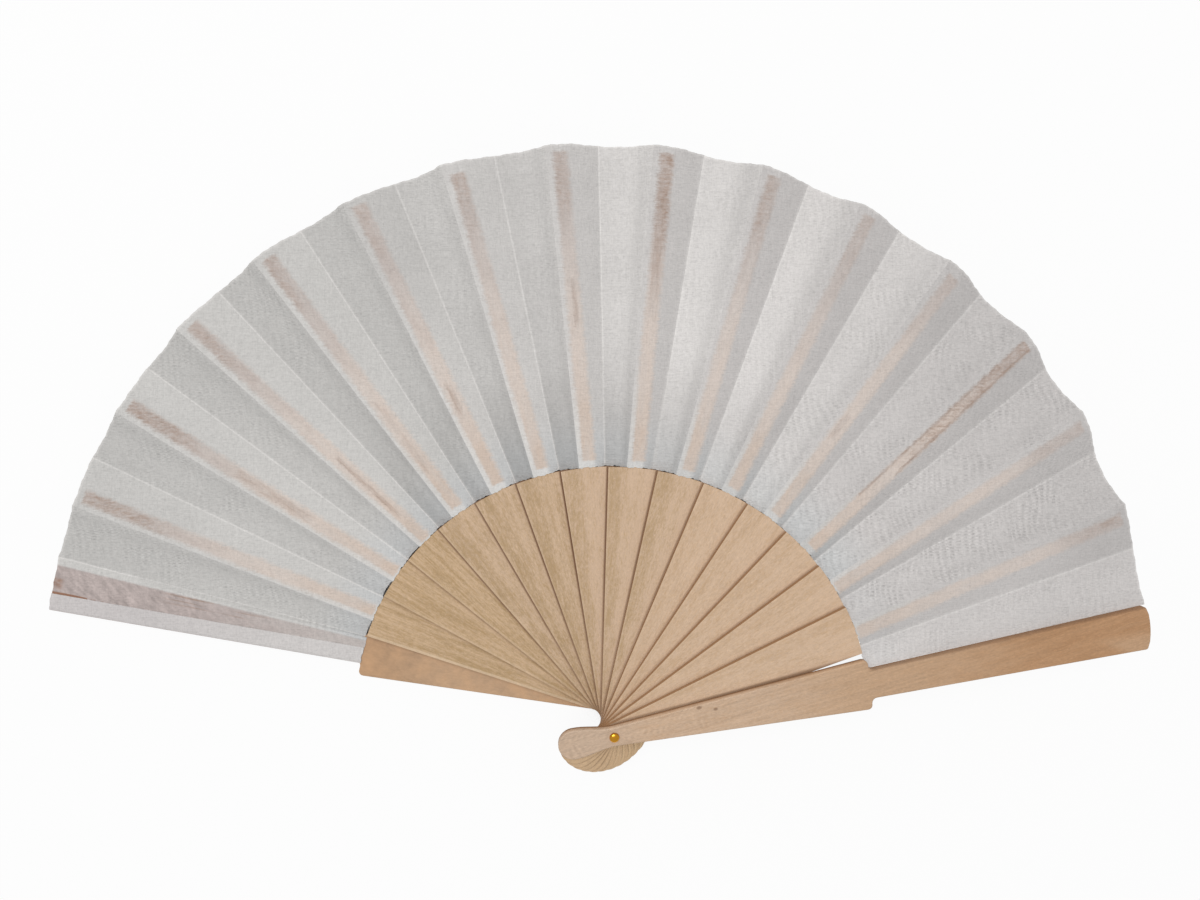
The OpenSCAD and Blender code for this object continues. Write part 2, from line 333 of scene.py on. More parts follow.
@dataclass(frozen=True)
class FanPlan:
    """The fan's own sizes in millimetres and degrees, as the CAD has them, with the lines that the cloth follows."""

    first_turn: float = 14.5
    guard_t: float = 2.6
    rib_t: float = 1.5
    stick_gap: float = 0.1
    leaf_room: float = 0.4
    shoulder_r: float = 97.0
    leaf_r: float = 209.0
    leaf_gap: float = 0.12
    silk_t: float = 0.2
    guard_reach: float = 209.0
    tip_inset: float = 2.4
    head_reach: float = 20.5
    head_w: float = 11.2
    waist_w: float = 7.3
    shoulder_w: float = 19.5
    blade_foot_w: float = 5.4
    blade_tip_w: float = 4.7
    guard_foot_w: float = 11.4
    guard_tip_w: float = 17.3
    valley_turn: float = 3.9
    first_turns: tuple[float, float] = (3.5, 2.95)
    rim_bulge: float = 1.0
    bulged: int = 8
    ridge_foot: float = 0.35
    ridge_rim: float = 2.0
    hem_foot: float = 4.7
    hem_rim: float = 9.0
    hem_foot_w: float = 6.4
    hem_rim_w: float = 6.35
    fold_depth: float = 3.6
    end_fold_depth: float = 1.0
    fold_climb: float = 0.5
    tab_w: float = 5.0
    fold_gap: float = 0.2
    steps: tuple[float, ...] = field(
        default_factory=lambda: tuple(float(j["range_deg"][1]) for j in frame["joints"]))

    @property
    def last(self) -> int:
        """The front guard's number, when the rear guard is 0."""
        return len(self.steps)

    @property
    def leaf_in(self) -> float:
        """The radius of the leaf's inner edge."""
        return self.shoulder_r + self.leaf_gap

    @property
    def layer(self) -> float:
        """The height from one stick to the next."""
        return self.rib_t + self.stick_gap

    @property
    def tab_z(self) -> float:
        """The height of the leaf where it goes under the front guard."""
        return self.top(self.last - 1) + self.stick_gap + self.leaf_room

    def body(self, stick: int) -> str:
        """The name of the body that a stick is."""
        return {0: "rear_guard", self.last: "front_guard"}.get(stick, f"rib_{stick:02d}")

    def heading(self, stick: int) -> float:
        """The direction in which a stick points, in degrees from +X towards +Y."""
        return 180.0 - self.first_turn - sum(self.steps[:stick])

    def top(self, stick: int) -> float:
        """The height of a stick's upper face."""
        return self.guard_t + stick * self.layer

    def share(self, r: Array | float) -> Array | float:
        """How far out on the leaf a radius is: 0 at the shoulders and 1 at the rim."""
        return (r - self.shoulder_r) / (self.leaf_r - self.shoulder_r)

    def blade_half(self, r: Array | float) -> Array | float:
        """Half the width of a rib's blade."""
        return mix(self.blade_foot_w, self.blade_tip_w, self.share(r)) / 2

    def guard_half(self, r: Array | float) -> Array | float:
        """Half the width of a guard beside the leaf."""
        return mix(self.guard_foot_w, self.guard_tip_w, self.share(r)) / 2

    def half(self, stick: int, r: Array | float) -> Array | float:
        """Half the width of any stick beside the leaf."""
        return self.guard_half(r) if stick in (0, self.last) else self.blade_half(r)

    def left_edge(self, stick: int, r: Array | float) -> Array | float:
        """How far to the left of a stick's middle line its ridge, its hem or its own edge lies.

        Args:
            stick: The stick's number.
            r: The distance from the rivet.

        Returns:
            The offset, in millimetres.
        """
        if stick == 0:
            return mix(self.hem_foot, self.hem_rim, self.share(r))
        if stick == self.last:
            return self.guard_half(r)
        return self.blade_half(r) + mix(self.ridge_foot, self.ridge_rim, self.share(r))

    def rim_depth(self, stick: int) -> float:
        """How far below its stick the valley on its right lies at the rim.

        Args:
            stick: The stick's number.

        Returns:
            The depth, in millimetres.
        """
        if stick == self.last - 1:
            return self.end_fold_depth
        deeper = max(0, stick - 1) * (self.layer - self.fold_climb)
        return min(self.fold_depth, self.end_fold_depth + deeper)

    def on_stick(self, stick: int, r: Array, left: Array, z: Array) -> Array:
        """Points at radius r that lie left of a stick's middle line, at height z.

        Args:
            stick: The stick's number.
            r: The distance of each point from the rivet.
            left: How far left of the middle line each point is.
            z: The height of each point.

        Returns:
            The points, with x, y and z last.
        """
        turn = np.radians(self.heading(stick)) + np.arcsin(left / r)
        return np.stack(np.broadcast_arrays(r * np.cos(turn), r * np.sin(turn), z), axis=-1)

    def ends(self) -> Array:
        """The radii of the leaf's inner edge and rim."""
        return np.array([self.leaf_in, self.leaf_r])

    def ridge(self, stick: int) -> Array:
        """The straight line along a stick's left edge of cloth.

        Args:
            stick: The stick's number.

        Returns:
            Its two ends, the inner one first.
        """
        r = self.ends()
        lift = 0.0 if stick in (0, self.last) else mix(0.06, 0.25, self.share(r))
        z = self.tab_z if stick == self.last else self.top(stick) + self.silk_t + lift
        return self.on_stick(stick, r, self.left_edge(stick, r), z + 0 * r)

    def valley(self, stick: int) -> Array:
        """The straight valley to the right of a stick.

        Args:
            stick: The stick's number.

        Returns:
            Its two ends, the inner one first.
        """
        r = self.ends()
        away = self.first_turns if stick == 0 else (self.valley_turn, self.valley_turn)
        turn = np.radians(self.heading(stick) - np.array(away))
        depth = self.rim_depth(stick) * r / self.leaf_r
        return np.stack([r * np.cos(turn), r * np.sin(turn), self.top(stick) - depth], axis=-1)

    def bulge(self, stick: int) -> float:
        """How far the rim is let out at the valley, most beside the rear guard."""
        return self.rim_bulge * max(0.0, 1 - stick / self.bulged)

    def tapered(self, r: "Shade", foot: float, tip: float) -> "Shade":
        """Half a width that goes straight from foot at the shoulders to tip at the rim, in a shader."""
        slope = (tip - foot) / 2 / (self.leaf_r - self.shoulder_r)
        return r * slope + (foot / 2 - slope * self.shoulder_r)


def ragged(points: Array, size: float) -> Array:
    """How far a cut edge strays at each point, from sines of its bearing that share no common period.

    Args:
        points: The points, with x, y and z last.
        size: The largest stray of one sine, in millimetres.

    Returns:
        The strays, in millimetres.
    """
    turn = np.arctan2(points[..., 1], points[..., 0])
    return size * (0.5 * np.sin(61 * turn) + 0.6 * np.sin(173 * turn + 1.3) + 0.5 * np.sin(397 * turn + 0.4))


def strayed(s: Array, inner: Array, rim: Array, out: Array | float) -> Array:
    """How far each point moves outwards: the strays die away with the 24th and 20th power, the bulge with the 6th."""
    return (1 - s) ** 24 * inner + s ** 20 * rim + s ** 6 * out


# ---------------------------------------------------------------------------------------------------------------
# Cloth as grids of points


@dataclass
class Cloth:
    """A piece of cloth as a grid: rows run from the inner edge to the rim and columns from left to right.

    points are its upper face in millimetres. strip gives each point its offset from the stick's middle line and its
    radius, and fold its share of the width and its distance from the valley. sag is how far the face hangs below
    the grid. The weave map is the point's place in the open leaf, because the leaf was cut from one cloth.
    """

    name: str
    points: Array
    strip: Array
    fold: Array
    sag: Array | None = None
    thick: float = 0.18
    deepest: float = 2.0

    def build(self, material: bpy.types.Material) -> bpy.types.Object:
        """Makes the mesh, with its maps, its sag and its thickness.

        Args:
            material: The cloth's finish.

        Returns:
            The piece.
        """
        rows, columns = self.points.shape[:2]
        index = np.arange(rows * columns).reshape(rows, columns)
        corners = np.stack([index[:-1, :-1], index[:-1, 1:], index[1:, 1:], index[1:, :-1]], axis=-1).reshape(-1, 4)
        mesh = bpy.data.meshes.new(self.name)
        mesh.vertices.add(rows * columns)
        mesh.vertices.foreach_set("co", (self.points * MM).ravel())
        mesh.loops.add(corners.size)
        mesh.loops.foreach_set("vertex_index", corners.ravel())
        mesh.polygons.add(len(corners))
        mesh.polygons.foreach_set("loop_start", np.arange(0, corners.size, 4))
        mesh.update(calc_edges=True)
        mesh.polygons.foreach_set("use_smooth", np.ones(len(corners), bool))
        for name, values in (("weave", self.points[..., :2]), ("strip", self.strip), ("fold", self.fold)):
            layer = mesh.uv_layers.new(name=name)
            layer.data.foreach_set("uv", values.reshape(-1, 2)[corners.ravel()].ravel())
        mesh.attributes.new("sharp_edge", "BOOLEAN", "EDGE").data.foreach_set("value", self.border(mesh))
        mesh.materials.append(material)
        piece = stand(self.name, mesh)
        if self.sag is not None:
            self.hang(piece)
        wall = piece.modifiers.new("thickness", "SOLIDIFY")
        wall.thickness = self.thick * MM
        wall.offset = -1.0
        return piece

    def border(self, mesh: bpy.types.Mesh) -> Array:
        """Tells which edges lie on the grid's border: both their points share its first or last row or column.

        Args:
            mesh: The mesh of the grid.

        Returns:
            True for each edge on the border.
        """
        rows, columns = self.points.shape[:2]
        ends = np.empty(len(mesh.edges) * 2, np.int32)
        mesh.edges.foreach_get("vertices", ends)
        row, column = np.divmod(ends.reshape(-1, 2), columns)
        on = [(row == 0), (row == rows - 1), (column == 0), (column == columns - 1)]
        return np.any([side.all(axis=1) for side in on], axis=0)

    def hang(self, piece: bpy.types.Object) -> None:
        """Lowers each point by its sag, through a group whose weight of 1 is the deepest sag.

        Args:
            piece: The piece that the grid has been made into.
        """
        group = piece.vertex_groups.new(name="sag")
        weights = np.clip(self.sag.ravel() / self.deepest, 0, 1)
        levels = np.round(weights * SAG_LEVELS).astype(int)
        for level in np.unique(levels[levels > 0]):
            group.add(np.flatnonzero(levels == level).tolist(), float(level) / SAG_LEVELS, "REPLACE")
        drop = piece.modifiers.new("sag", "DISPLACE")
        drop.direction = "NORMAL"
        drop.mid_level = 0.0
        drop.strength = -self.deepest * MM
        drop.vertex_group = "sag"


# ---------------------------------------------------------------------------------------------------------------
# Finishes


@dataclass(frozen=True)
class GlueMark:
    """A patch of a strip that glue has made see-through.

    start and end are radii, left and right are offsets from the stick's middle line, and depth says how brown it is.
    """

    start: float
    end: float
    left: float = 2.2
    right: float = -2.2
    depth: float = 0.6


@dataclass(frozen=True)
class Strip:
    """How a rib shows through the silk.

    browned_from is the radius outside which it is browned, and brown how much. show is how clearly the rib shows.
    foot_end is where the glued patch at the inner end stops. inner and outer are how much brighter the panel is
    painted at its two ends, as painted light. marks are single patches of glue.
    """

    browned_from: float = 185.0
    brown: float = 0.4
    show: float = 1.0
    foot_end: float = 112.0
    inner: float = 0.0
    outer: float = 0.0
    marks: tuple[GlueMark, ...] = ()


STRIPS = (
    Strip(181, 0.8, 0.95, 104, 0.02, -0.04),
    Strip(186, 0.8, 1.0, 104, 0.04, 0.0, (GlueMark(134, 164, 1.4, -1.9, 0.42),)),
    Strip(186, 0.5, 1.0, 108, 0.03, 0.0, (GlueMark(111, 141, 0.4, -1.1, 0.65),)),
    Strip(191, 0.5, 1.0, 112, 0.04, 0.0, (GlueMark(118, 146, 0.8, -1.2, 0.28),)),
    Strip(196, 0.4, 1.0, 116, 0.08, -0.08, (GlueMark(128, 140, 0.8, -1.4, 0.5),)),
    Strip(188, 0.5, 1.0, 108, 0.09, 0.02),
    Strip(191, 0.4, 0.95, 121, 0.06, 0.0, (GlueMark(148, 163, -0.2, -1.8, 0.55),)),
    Strip(176, 0.8, 1.0, 112, 0.01, -0.01, (GlueMark(150, 197, 1.0, -2.1, 0.35),)),
    Strip(184, 0.5, 0.9, 116, 0.0, -0.03),
    Strip(190, 0.3, 0.9, 122, -0.04, -0.04),
    Strip(192, 0.25, 0.9, 118, 0.0, -0.1, (GlueMark(134, 144, 1.0, -1.4, 0.4),)),
    Strip(150, 0.7, 1.0, 108, -0.07, -0.08,
          (GlueMark(126, 206, 2.0, 0.9, 1.0), GlueMark(140, 206, -2.0, -3.1, 0.9))),
    Strip(188, 0.3, 0.85, 106, -0.02, -0.06),
    Strip(192, 0.3, 0.85, 104, -0.06, -0.13, (GlueMark(199, 204, 1.5, -1.5, 0.6),)),
)


@dataclass(frozen=True)
class PanelShading:
    """The painted light and shade of a free panel: how bright it is at its valley and at its ridge, where 1 is plain
    silk.

    lighter is how far its colour is painted towards the brightest silk, ridge_shade how much painted shade darkens it
    along the ridge, and inner and outer how much painted shade darkens it at the inner edge and towards the rim.
    """

    valley: float
    ridge: float
    lighter: float = 0.0
    ridge_shade: float = 0.06
    inner: float = 0.04
    outer: float = 0.0


class PanelLighting(Enum):
    """The painted light and shade of the free panels, from the rear guard's side to the front guard's."""

    PALE = PanelShading(0.94, 0.96, 0.0, 0.05, 0.02, 0.05)
    GREY = PanelShading(0.88, 0.93, 0.0, 0.05, 0.06, 0.01)
    DEEP_SHADE = PanelShading(0.87, 0.92, 0.0, 0.05, 0.14)
    MIDDLE = PanelShading(0.91, 0.96, 0.0, 0.05, 0.20, -0.02)
    TURNING = PanelShading(1.04, 1.07, 0.12, 0.13, 0.26, -0.01)
    BRIGHT = PanelShading(1.10, 1.03, 0.3, 0.13, 0.24, 0.06)
    SHINING = PanelShading(1.08, 1.00, 0.3, 0.13, 0.12, 0.03)
    HALF_LIT = PanelShading(1.00, 0.93, 0.3, 0.09, 0.03, 0.01)
    SOFT_LIT = PanelShading(1.00, 0.94, 0.0, 0.05, -0.02, 0.06)
    LAST = PanelShading(1.04, 1.05, 0.0, 0.05, -0.05, 0.03)


PANEL_LIGHTING = (PanelLighting.PALE, PanelLighting.PALE, PanelLighting.PALE, PanelLighting.DEEP_SHADE, PanelLighting.DEEP_SHADE, PanelLighting.MIDDLE, PanelLighting.MIDDLE, PanelLighting.TURNING,
         PanelLighting.BRIGHT, PanelLighting.SHINING, PanelLighting.HALF_LIT, PanelLighting.SOFT_LIT, PanelLighting.SOFT_LIT, PanelLighting.SOFT_LIT, PanelLighting.LAST)


@dataclass(frozen=True)
class SilkFinish:
    """The leaf's fine white silk: its threads, its ripples and what shows through it."""

    white: Colour = paint(202, 200, 197)
    rosy: Colour = paint(203, 199, 197)
    cool: Colour = paint(196, 197, 197)
    # glow is the brightest silk, used for painted highlights and for the painted light of the free panels.
    glow: Colour = paint(229, 226, 223)
    peach: Colour = paint(213, 199, 189)
    foot: Colour = paint(208, 190, 176)
    mauve: Colour = paint(192, 181, 175)
    brown: Colour = paint(158, 131, 114)
    halo: Colour = paint(216, 213, 209)
    veil: Colour = paint(192, 184, 180)
    veil_out: Colour = paint(181, 168, 164)
    rust: Colour = paint(146, 106, 82)
    hem_in: Colour = paint(209, 205, 203)
    hem_out: Colour = paint(202, 197, 196)
    roughness: float = 0.72
    shown_to: float = 206.6
    short_to: float = 205.2
    short: tuple[int, ...] = (6, 11)

    def threads(self, nodes: Nodes, ripple: float) -> tuple[Shade, Shade, Shade]:
        """The cloth's own pattern, which runs through the whole open leaf as it does in one cloth.

        Short strokes lie along the weft, fewer across it. Slubs run both ways, clouds are broad, and the ripples
        stand across the weft in short dashes.

        Args:
            nodes: The material's tree.
            ripple: How strong the ripples are.

        Returns:
            The cloth's brightness round 1, its relief, and the strokes alone.
        """
        weave = nodes.map("weave")
        strokes = nodes.noise(weave, (0.6, 2.0, 1.0), 1.0, 3.0, 0.72)
        across = nodes.noise(weave, (2.4, 0.8, 1.0), 2.0, 2.0, 0.6)
        weft = nodes.noise(weave, (0.12, 3.6, 1.0), 3.0, 1.0)
        warp = nodes.noise(weave, (3.6, 0.12, 1.0), 4.0, 1.0)
        cloud = nodes.noise(weave, (0.06, 0.06, 1.0), 5.0, 3.0)
        x, y, _ = nodes.parts(weave)
        bend = nodes.noise(weave, (0.045, 0.045, 1.0), 6.0, 2.0)
        patches = nodes.noise(weave, (0.09, 0.14, 1.0), 7.0, 2.0).step(-0.12, 0.16)
        dashes = (y * 5.4 + bend * 20.0).sine() * 0.5 + 0.5
        jitter = nodes.noise(weave, (0.6, 0.35, 1.0), 8.0, 2.0) * 5.0
        wave = ((x * 2.6) + (y * 0.12) + bend * 26.0 + jitter).sine() * patches * dashes
        light = 1.0 + strokes * (0.47 + 0.12 * ripple) + across * 0.3 + (weft + warp) * 0.12 + cloud * 0.12
        light = light + wave * (0.07 * ripple) - strokes.step(0.06, 0.16) * 0.07
        relief = strokes * 0.8 + across * 0.4 + (weft + warp) * 0.5 + wave * (0.35 * ripple)
        return light, relief, strokes

    def end(self, nodes: Nodes, colour: Shade, light: Any, relief: Shade) -> bpy.types.Material:
        """Ends a silk material.

        Args:
            nodes: The material's tree.
            colour: The cloth's colour.
            light: What the colour is multiplied by.
            relief: The height of the threads.

        Returns:
            The material.
        """
        return nodes.finish({
            "Base Color": nodes.scaled(colour, light),
            "Roughness": self.roughness,
            "Sheen Weight": 0.1,
            "Normal": nodes.bump(relief, 0.00018),
        })

    def ground(self, nodes: Nodes, plan: FanPlan, stick: int, v: Shade, gap: Shade) -> Shade:
        """The silk where nothing shows through: bluish by the inner edge, with painted highlights on the rim and
        valley folds.

        Args:
            nodes: The material's tree.
            plan: The fan's sizes.
            stick: The stick's number: the silk is rosier towards the front guard.
            v: The radius.
            gap: The distance from the valley.

        Returns:
            The colour.
        """
        white = nodes.blend(ramp(stick, 4, 9), self.white, self.rosy)
        white = nodes.blend(v.step(122.0, plan.leaf_in) * (1.0 if stick < 13 else 0.3), white, self.cool)
        # Painted highlights: a thin bright line along the rim, and another along the fold of each valley.
        white = nodes.blend(v.step(plan.leaf_r - 0.9, plan.leaf_r - 0.2) * 0.5, white, self.glow)
        wide, much = (0.5, 0.5) if stick < 8 else (1.1, 0.32)
        return nodes.blend(gap.step(wide, 0.1) * much, white, self.glow)

    def glued(self, stick: int, strip: Strip, plan: FanPlan, ripple: float) -> bpy.types.Material:
        """The finish of a glued panel, with its rib showing through.

        Args:
            stick: The rib's number.
            strip: How the rib shows.
            plan: The fan's sizes.
            ripple: How strong the ripples are.

        Returns:
            The material.
        """
        nodes = Nodes(f"silk_glued_{stick:02d}")
        light, relief, strokes = self.threads(nodes, ripple)
        weave, place = nodes.map("weave"), nodes.map("strip")
        u, v, _ = nodes.parts(place)
        _, gap, _ = nodes.parts(nodes.map("fold"))
        seed = stick * 2.7 + 11
        fuzz = strokes * 3.0 + nodes.noise(weave, (0.3, 0.5, 1.0), seed, 2.0) * 1.4
        blotch = nodes.noise(place, (0.3, 0.07, 1.0), seed + 9, 3.0, 0.6)
        half = plan.tapered(v, plan.blade_foot_w + 0.2, plan.blade_tip_w + 0.2)
        across = u + fuzz + 0.2 + 0.05 * stick
        shape = across.step(-1.1 - half, 1.1 - half) * across.step(half + 1.0, half - 1.1)
        bare = 2.4 if 4 <= stick <= 12 else 0.6
        stop = self.short_to if stick in self.short else self.shown_to
        shape = shape * (v + fuzz * 0.6).within(plan.leaf_in + bare, stop, 0.5)
        start, full = (140.0, 190.0) if stick < 11 else (165.0, 200.0)
        mauve = (v + blotch * 40.0).step(start, full)
        shown = nodes.blend(mauve, self.peach, self.mauve)
        foot = (u + fuzz * 0.4).within(-2.5, 1.5, 0.3) * (v + fuzz).step(strip.foot_end + 2.0, strip.foot_end - 2.0)
        inner = (v + blotch * 20.0).step(138.0, 112.0)
        shown = nodes.blend(inner * 0.55 + foot * 0.45, shown, self.foot)
        far = (v + blotch * 34.0).step(strip.browned_from - 12, strip.browned_from + 10)
        fibres = nodes.noise(weave, (0.35, 1.2, 1.0), seed + 5, 4.0, 0.75) * 3.6 + 0.5
        shown = nodes.blend(far * fibres * strip.brown, shown, self.brown)
        for number, mark in enumerate(strip.marks):
            patch = (u + fuzz * 0.5).within(mark.right, mark.left, 0.4)
            patch = patch * (v + blotch * 12.0).within(mark.start, mark.end, 1.2)
            worn = nodes.noise(place, (0.9, 0.14, 1.0), seed + 20 + number, 3.0, 0.7) * 2.6 + 0.6
            shown = nodes.blend(patch * worn * mark.depth, shown, self.brown)
        white = self.ground(nodes, plan, stick, v, gap)
        # Painted highlight: a light band on the flat cloth between the blade's edge and the ridge.
        band = (across - fuzz * 0.5).step(half - 0.4, half + 0.6) * v.step(207.0, 202.0)
        white = nodes.blend(band * 0.12, white, self.glow)
        end = (v + fuzz).step(plan.leaf_in + bare * 1.8, plan.leaf_in + bare * 0.9)
        end = end * (u + fuzz * 0.4).within(-3.0, 3.2, 0.8)
        side = (u + fuzz * 0.5).within(1.4, 3.1, 0.6) * v.step(plan.leaf_in + 40.0, plan.leaf_in + 12.0)
        white = nodes.blend(end.either(side) * 0.6, white, self.halo)
        shape = shape * (1 - side * 0.8) * (blotch * 0.9 + 0.9) * strip.show
        # Painted light: the panel is painted brighter or darker at its inner end and towards the rim.
        tone = v.step(185.0, 125.0) * strip.inner + v.step(150.0, 195.0) * strip.outer + 1.0
        return self.end(nodes, nodes.blend(shape, nodes.scaled(white, tone), shown), light, relief)

    def free(self, stick: int, plan: FanPlan, ripple: float, shading: PanelShading) -> bpy.types.Material:
        """The finish of a free panel, with painted shade towards the ridge and a painted highlight along it.

        Args:
            stick: The number of the stick on its left.
            plan: The fan's sizes.
            ripple: How strong the ripples are.
            shading: The painted light and shade of the panel.

        Returns:
            The material.
        """
        nodes = Nodes(f"silk_free_{stick:02d}")
        light, relief, strokes = self.threads(nodes, ripple)
        _, v, _ = nodes.parts(nodes.map("strip"))
        share, gap, _ = nodes.parts(nodes.map("fold"))
        # Painted light and shade: lighter paints the panel towards the brightest silk, its brightness goes from the
        # valley's to the ridge's, painted shade darkens it towards the ridge, at the inner edge and towards the rim,
        # and painted highlights lie along the ridge and, on the first panels, near the inner edge.
        white = nodes.blend(shading.lighter, self.ground(nodes, plan, stick, v, gap), self.glow)
        across = share + strokes * 0.12
        painted_light = across.step(0.1, 0.8) * (shading.ridge - shading.valley) + shading.valley
        painted_light = painted_light - across.step(0.5, 0.94) * shading.ridge_shade - v.step(145.0, 104.0) * shading.inner
        painted_light = painted_light + across.step(0.82, 1.0) * (0.08 if stick < 9 else 0.03) - v.step(150.0, 200.0) * shading.outer
        paler = 0.11 if stick < 3 else 0.17 if stick < 5 else 0.04
        painted_light = painted_light + v.step(130.0, 106.0) * across.step(0.3, 0.75) * paler
        return self.end(nodes, white, light * painted_light, relief)

    def first(self, plan: FanPlan) -> bpy.types.Material:
        """The finish of the panel on the rear guard, whose wood shows as a mauve strip beside the hem.

        Args:
            plan: The fan's sizes.

        Returns:
            The material.
        """
        nodes = Nodes("silk_glued_00")
        light, relief, strokes = self.threads(nodes, 1.0)
        weave, place = nodes.map("weave"), nodes.map("strip")
        u, v, _ = nodes.parts(place)
        _, gap, _ = nodes.parts(nodes.map("fold"))
        blotch = nodes.noise(place, (0.25, 0.06, 1.0), 4.0, 3.0, 0.6)
        stripes = nodes.noise(nodes.turned(weave, -38.0), (0.6, 0.18, 1.0), 8.0, 2.0)
        side = (v - plan.shoulder_r) * -0.0335 - 4.6
        strip = (u + strokes * 1.2).step(side - 0.3, side + 0.5)
        shown = nodes.blend((v + blotch * 50.0).step(105.0, 165.0), self.veil, self.veil_out)
        lines = nodes.noise(place, (1.1, 0.03, 1.0), 9.0, 2.0).step(0.04, 0.18) * v.within(137.0, 172.0, 10.0)
        lines = lines * u.step(side + 5.0, side + 3.5)
        shown = nodes.blend(lines * 0.65, shown, self.brown)
        shown = nodes.scaled(shown, stripes * (v.step(120.0, 190.0) * 0.6 + 0.3) + 1.0)
        seam = (v - plan.shoulder_r) * 0.0388 - 1.7
        thick = v.step(194.0, 201.0)
        line = (u + blotch * 1.2).within(seam - 0.45 - thick * 0.5, seam + 0.2, 0.25) * v.step(186.0, 188.0)
        spots = line * nodes.noise(place, (0.3, 0.45, 1.0), 30.0, 2.0).step(0.06 - thick * 0.4, 0.14 - thick * 0.4)
        spots = spots.either(v.step(205.0, 207.5) * u.within(-3.4, 0.4, 0.8) * (strokes * 2.0 + 0.6))
        shown = nodes.blend(spots, shown, self.rust)
        # Painted shade and highlight: inwards of the rim the valley highlight is taken off, the ground is painted a
        # little darker, and a thin painted highlight runs beside the strip, so that a fold seems to lie there.
        calm = v.step(184.0, 164.0)
        white = self.ground(nodes, plan, 0, v, gap + calm * 2.0)
        edge = (u + strokes * 1.2).within(side - 0.7, side - 0.1, 0.3) * calm
        white = nodes.scaled(white, 1 - calm * 0.06 + edge * 0.08)
        return self.end(nodes, nodes.blend(strip, white, shown), light, relief)

    def hem(self) -> bpy.types.Material:
        """The finish of the double hem and of the tab, where no wood shows through.

        Returns:
            The material.
        """
        nodes = Nodes("silk_hem")
        light, relief, _ = self.threads(nodes, 0.3)
        place = nodes.map("strip")
        _, v, _ = nodes.parts(place)
        cross = nodes.noise(place, (0.3, 1.4, 1.0), 12.0, 2.0)
        colour = nodes.blend(v.step(200.0, 110.0), self.hem_out, self.hem_in)
        return self.end(nodes, colour, light + cross * 0.04, relief + cross)


@dataclass(frozen=True)
class Timber:
    """One cut of wood: its ground, the olive stain in it and its dark fibres.

    spread is the share of the face that is stained, lean how much more of that is on its left, and striped how
    clearly fine parallel growth lines show.
    """

    ground: Colour
    stain: Colour
    fibre: Colour
    spread: float = 0.4
    lean: float = 0.5
    striped: float = 0.0


class Tone(Enum):
    """The cuts that the sticks were made from."""

    STRAW = Timber(paint(206, 176, 142), paint(175, 145, 105), paint(146, 114, 78), 0.45, 0.1, 1.0)
    OLIVE = Timber(paint(207, 178, 148), paint(176, 147, 110), paint(150, 119, 84), 0.48, 0.4, 0.25)
    TAN = Timber(paint(209, 180, 152), paint(181, 152, 116), paint(156, 126, 92), 0.38, 0.6)
    ROSE = Timber(paint(213, 184, 156), paint(194, 163, 130), paint(172, 140, 108), 0.34, 0.3)
    REAR = Timber(paint(197, 164, 131), paint(180, 146, 111), paint(168, 133, 99), 0.4, 0.0)
    FRONT = Timber(paint(205, 176, 149), paint(192, 160, 130), paint(170, 137, 107), 0.3, 0.0)


TONES = (Tone.REAR, Tone.STRAW, Tone.STRAW, Tone.STRAW, Tone.OLIVE, Tone.OLIVE, Tone.OLIVE, Tone.TAN,
         Tone.TAN, Tone.TAN, Tone.ROSE, Tone.ROSE, Tone.ROSE, Tone.ROSE, Tone.ROSE, Tone.FRONT)


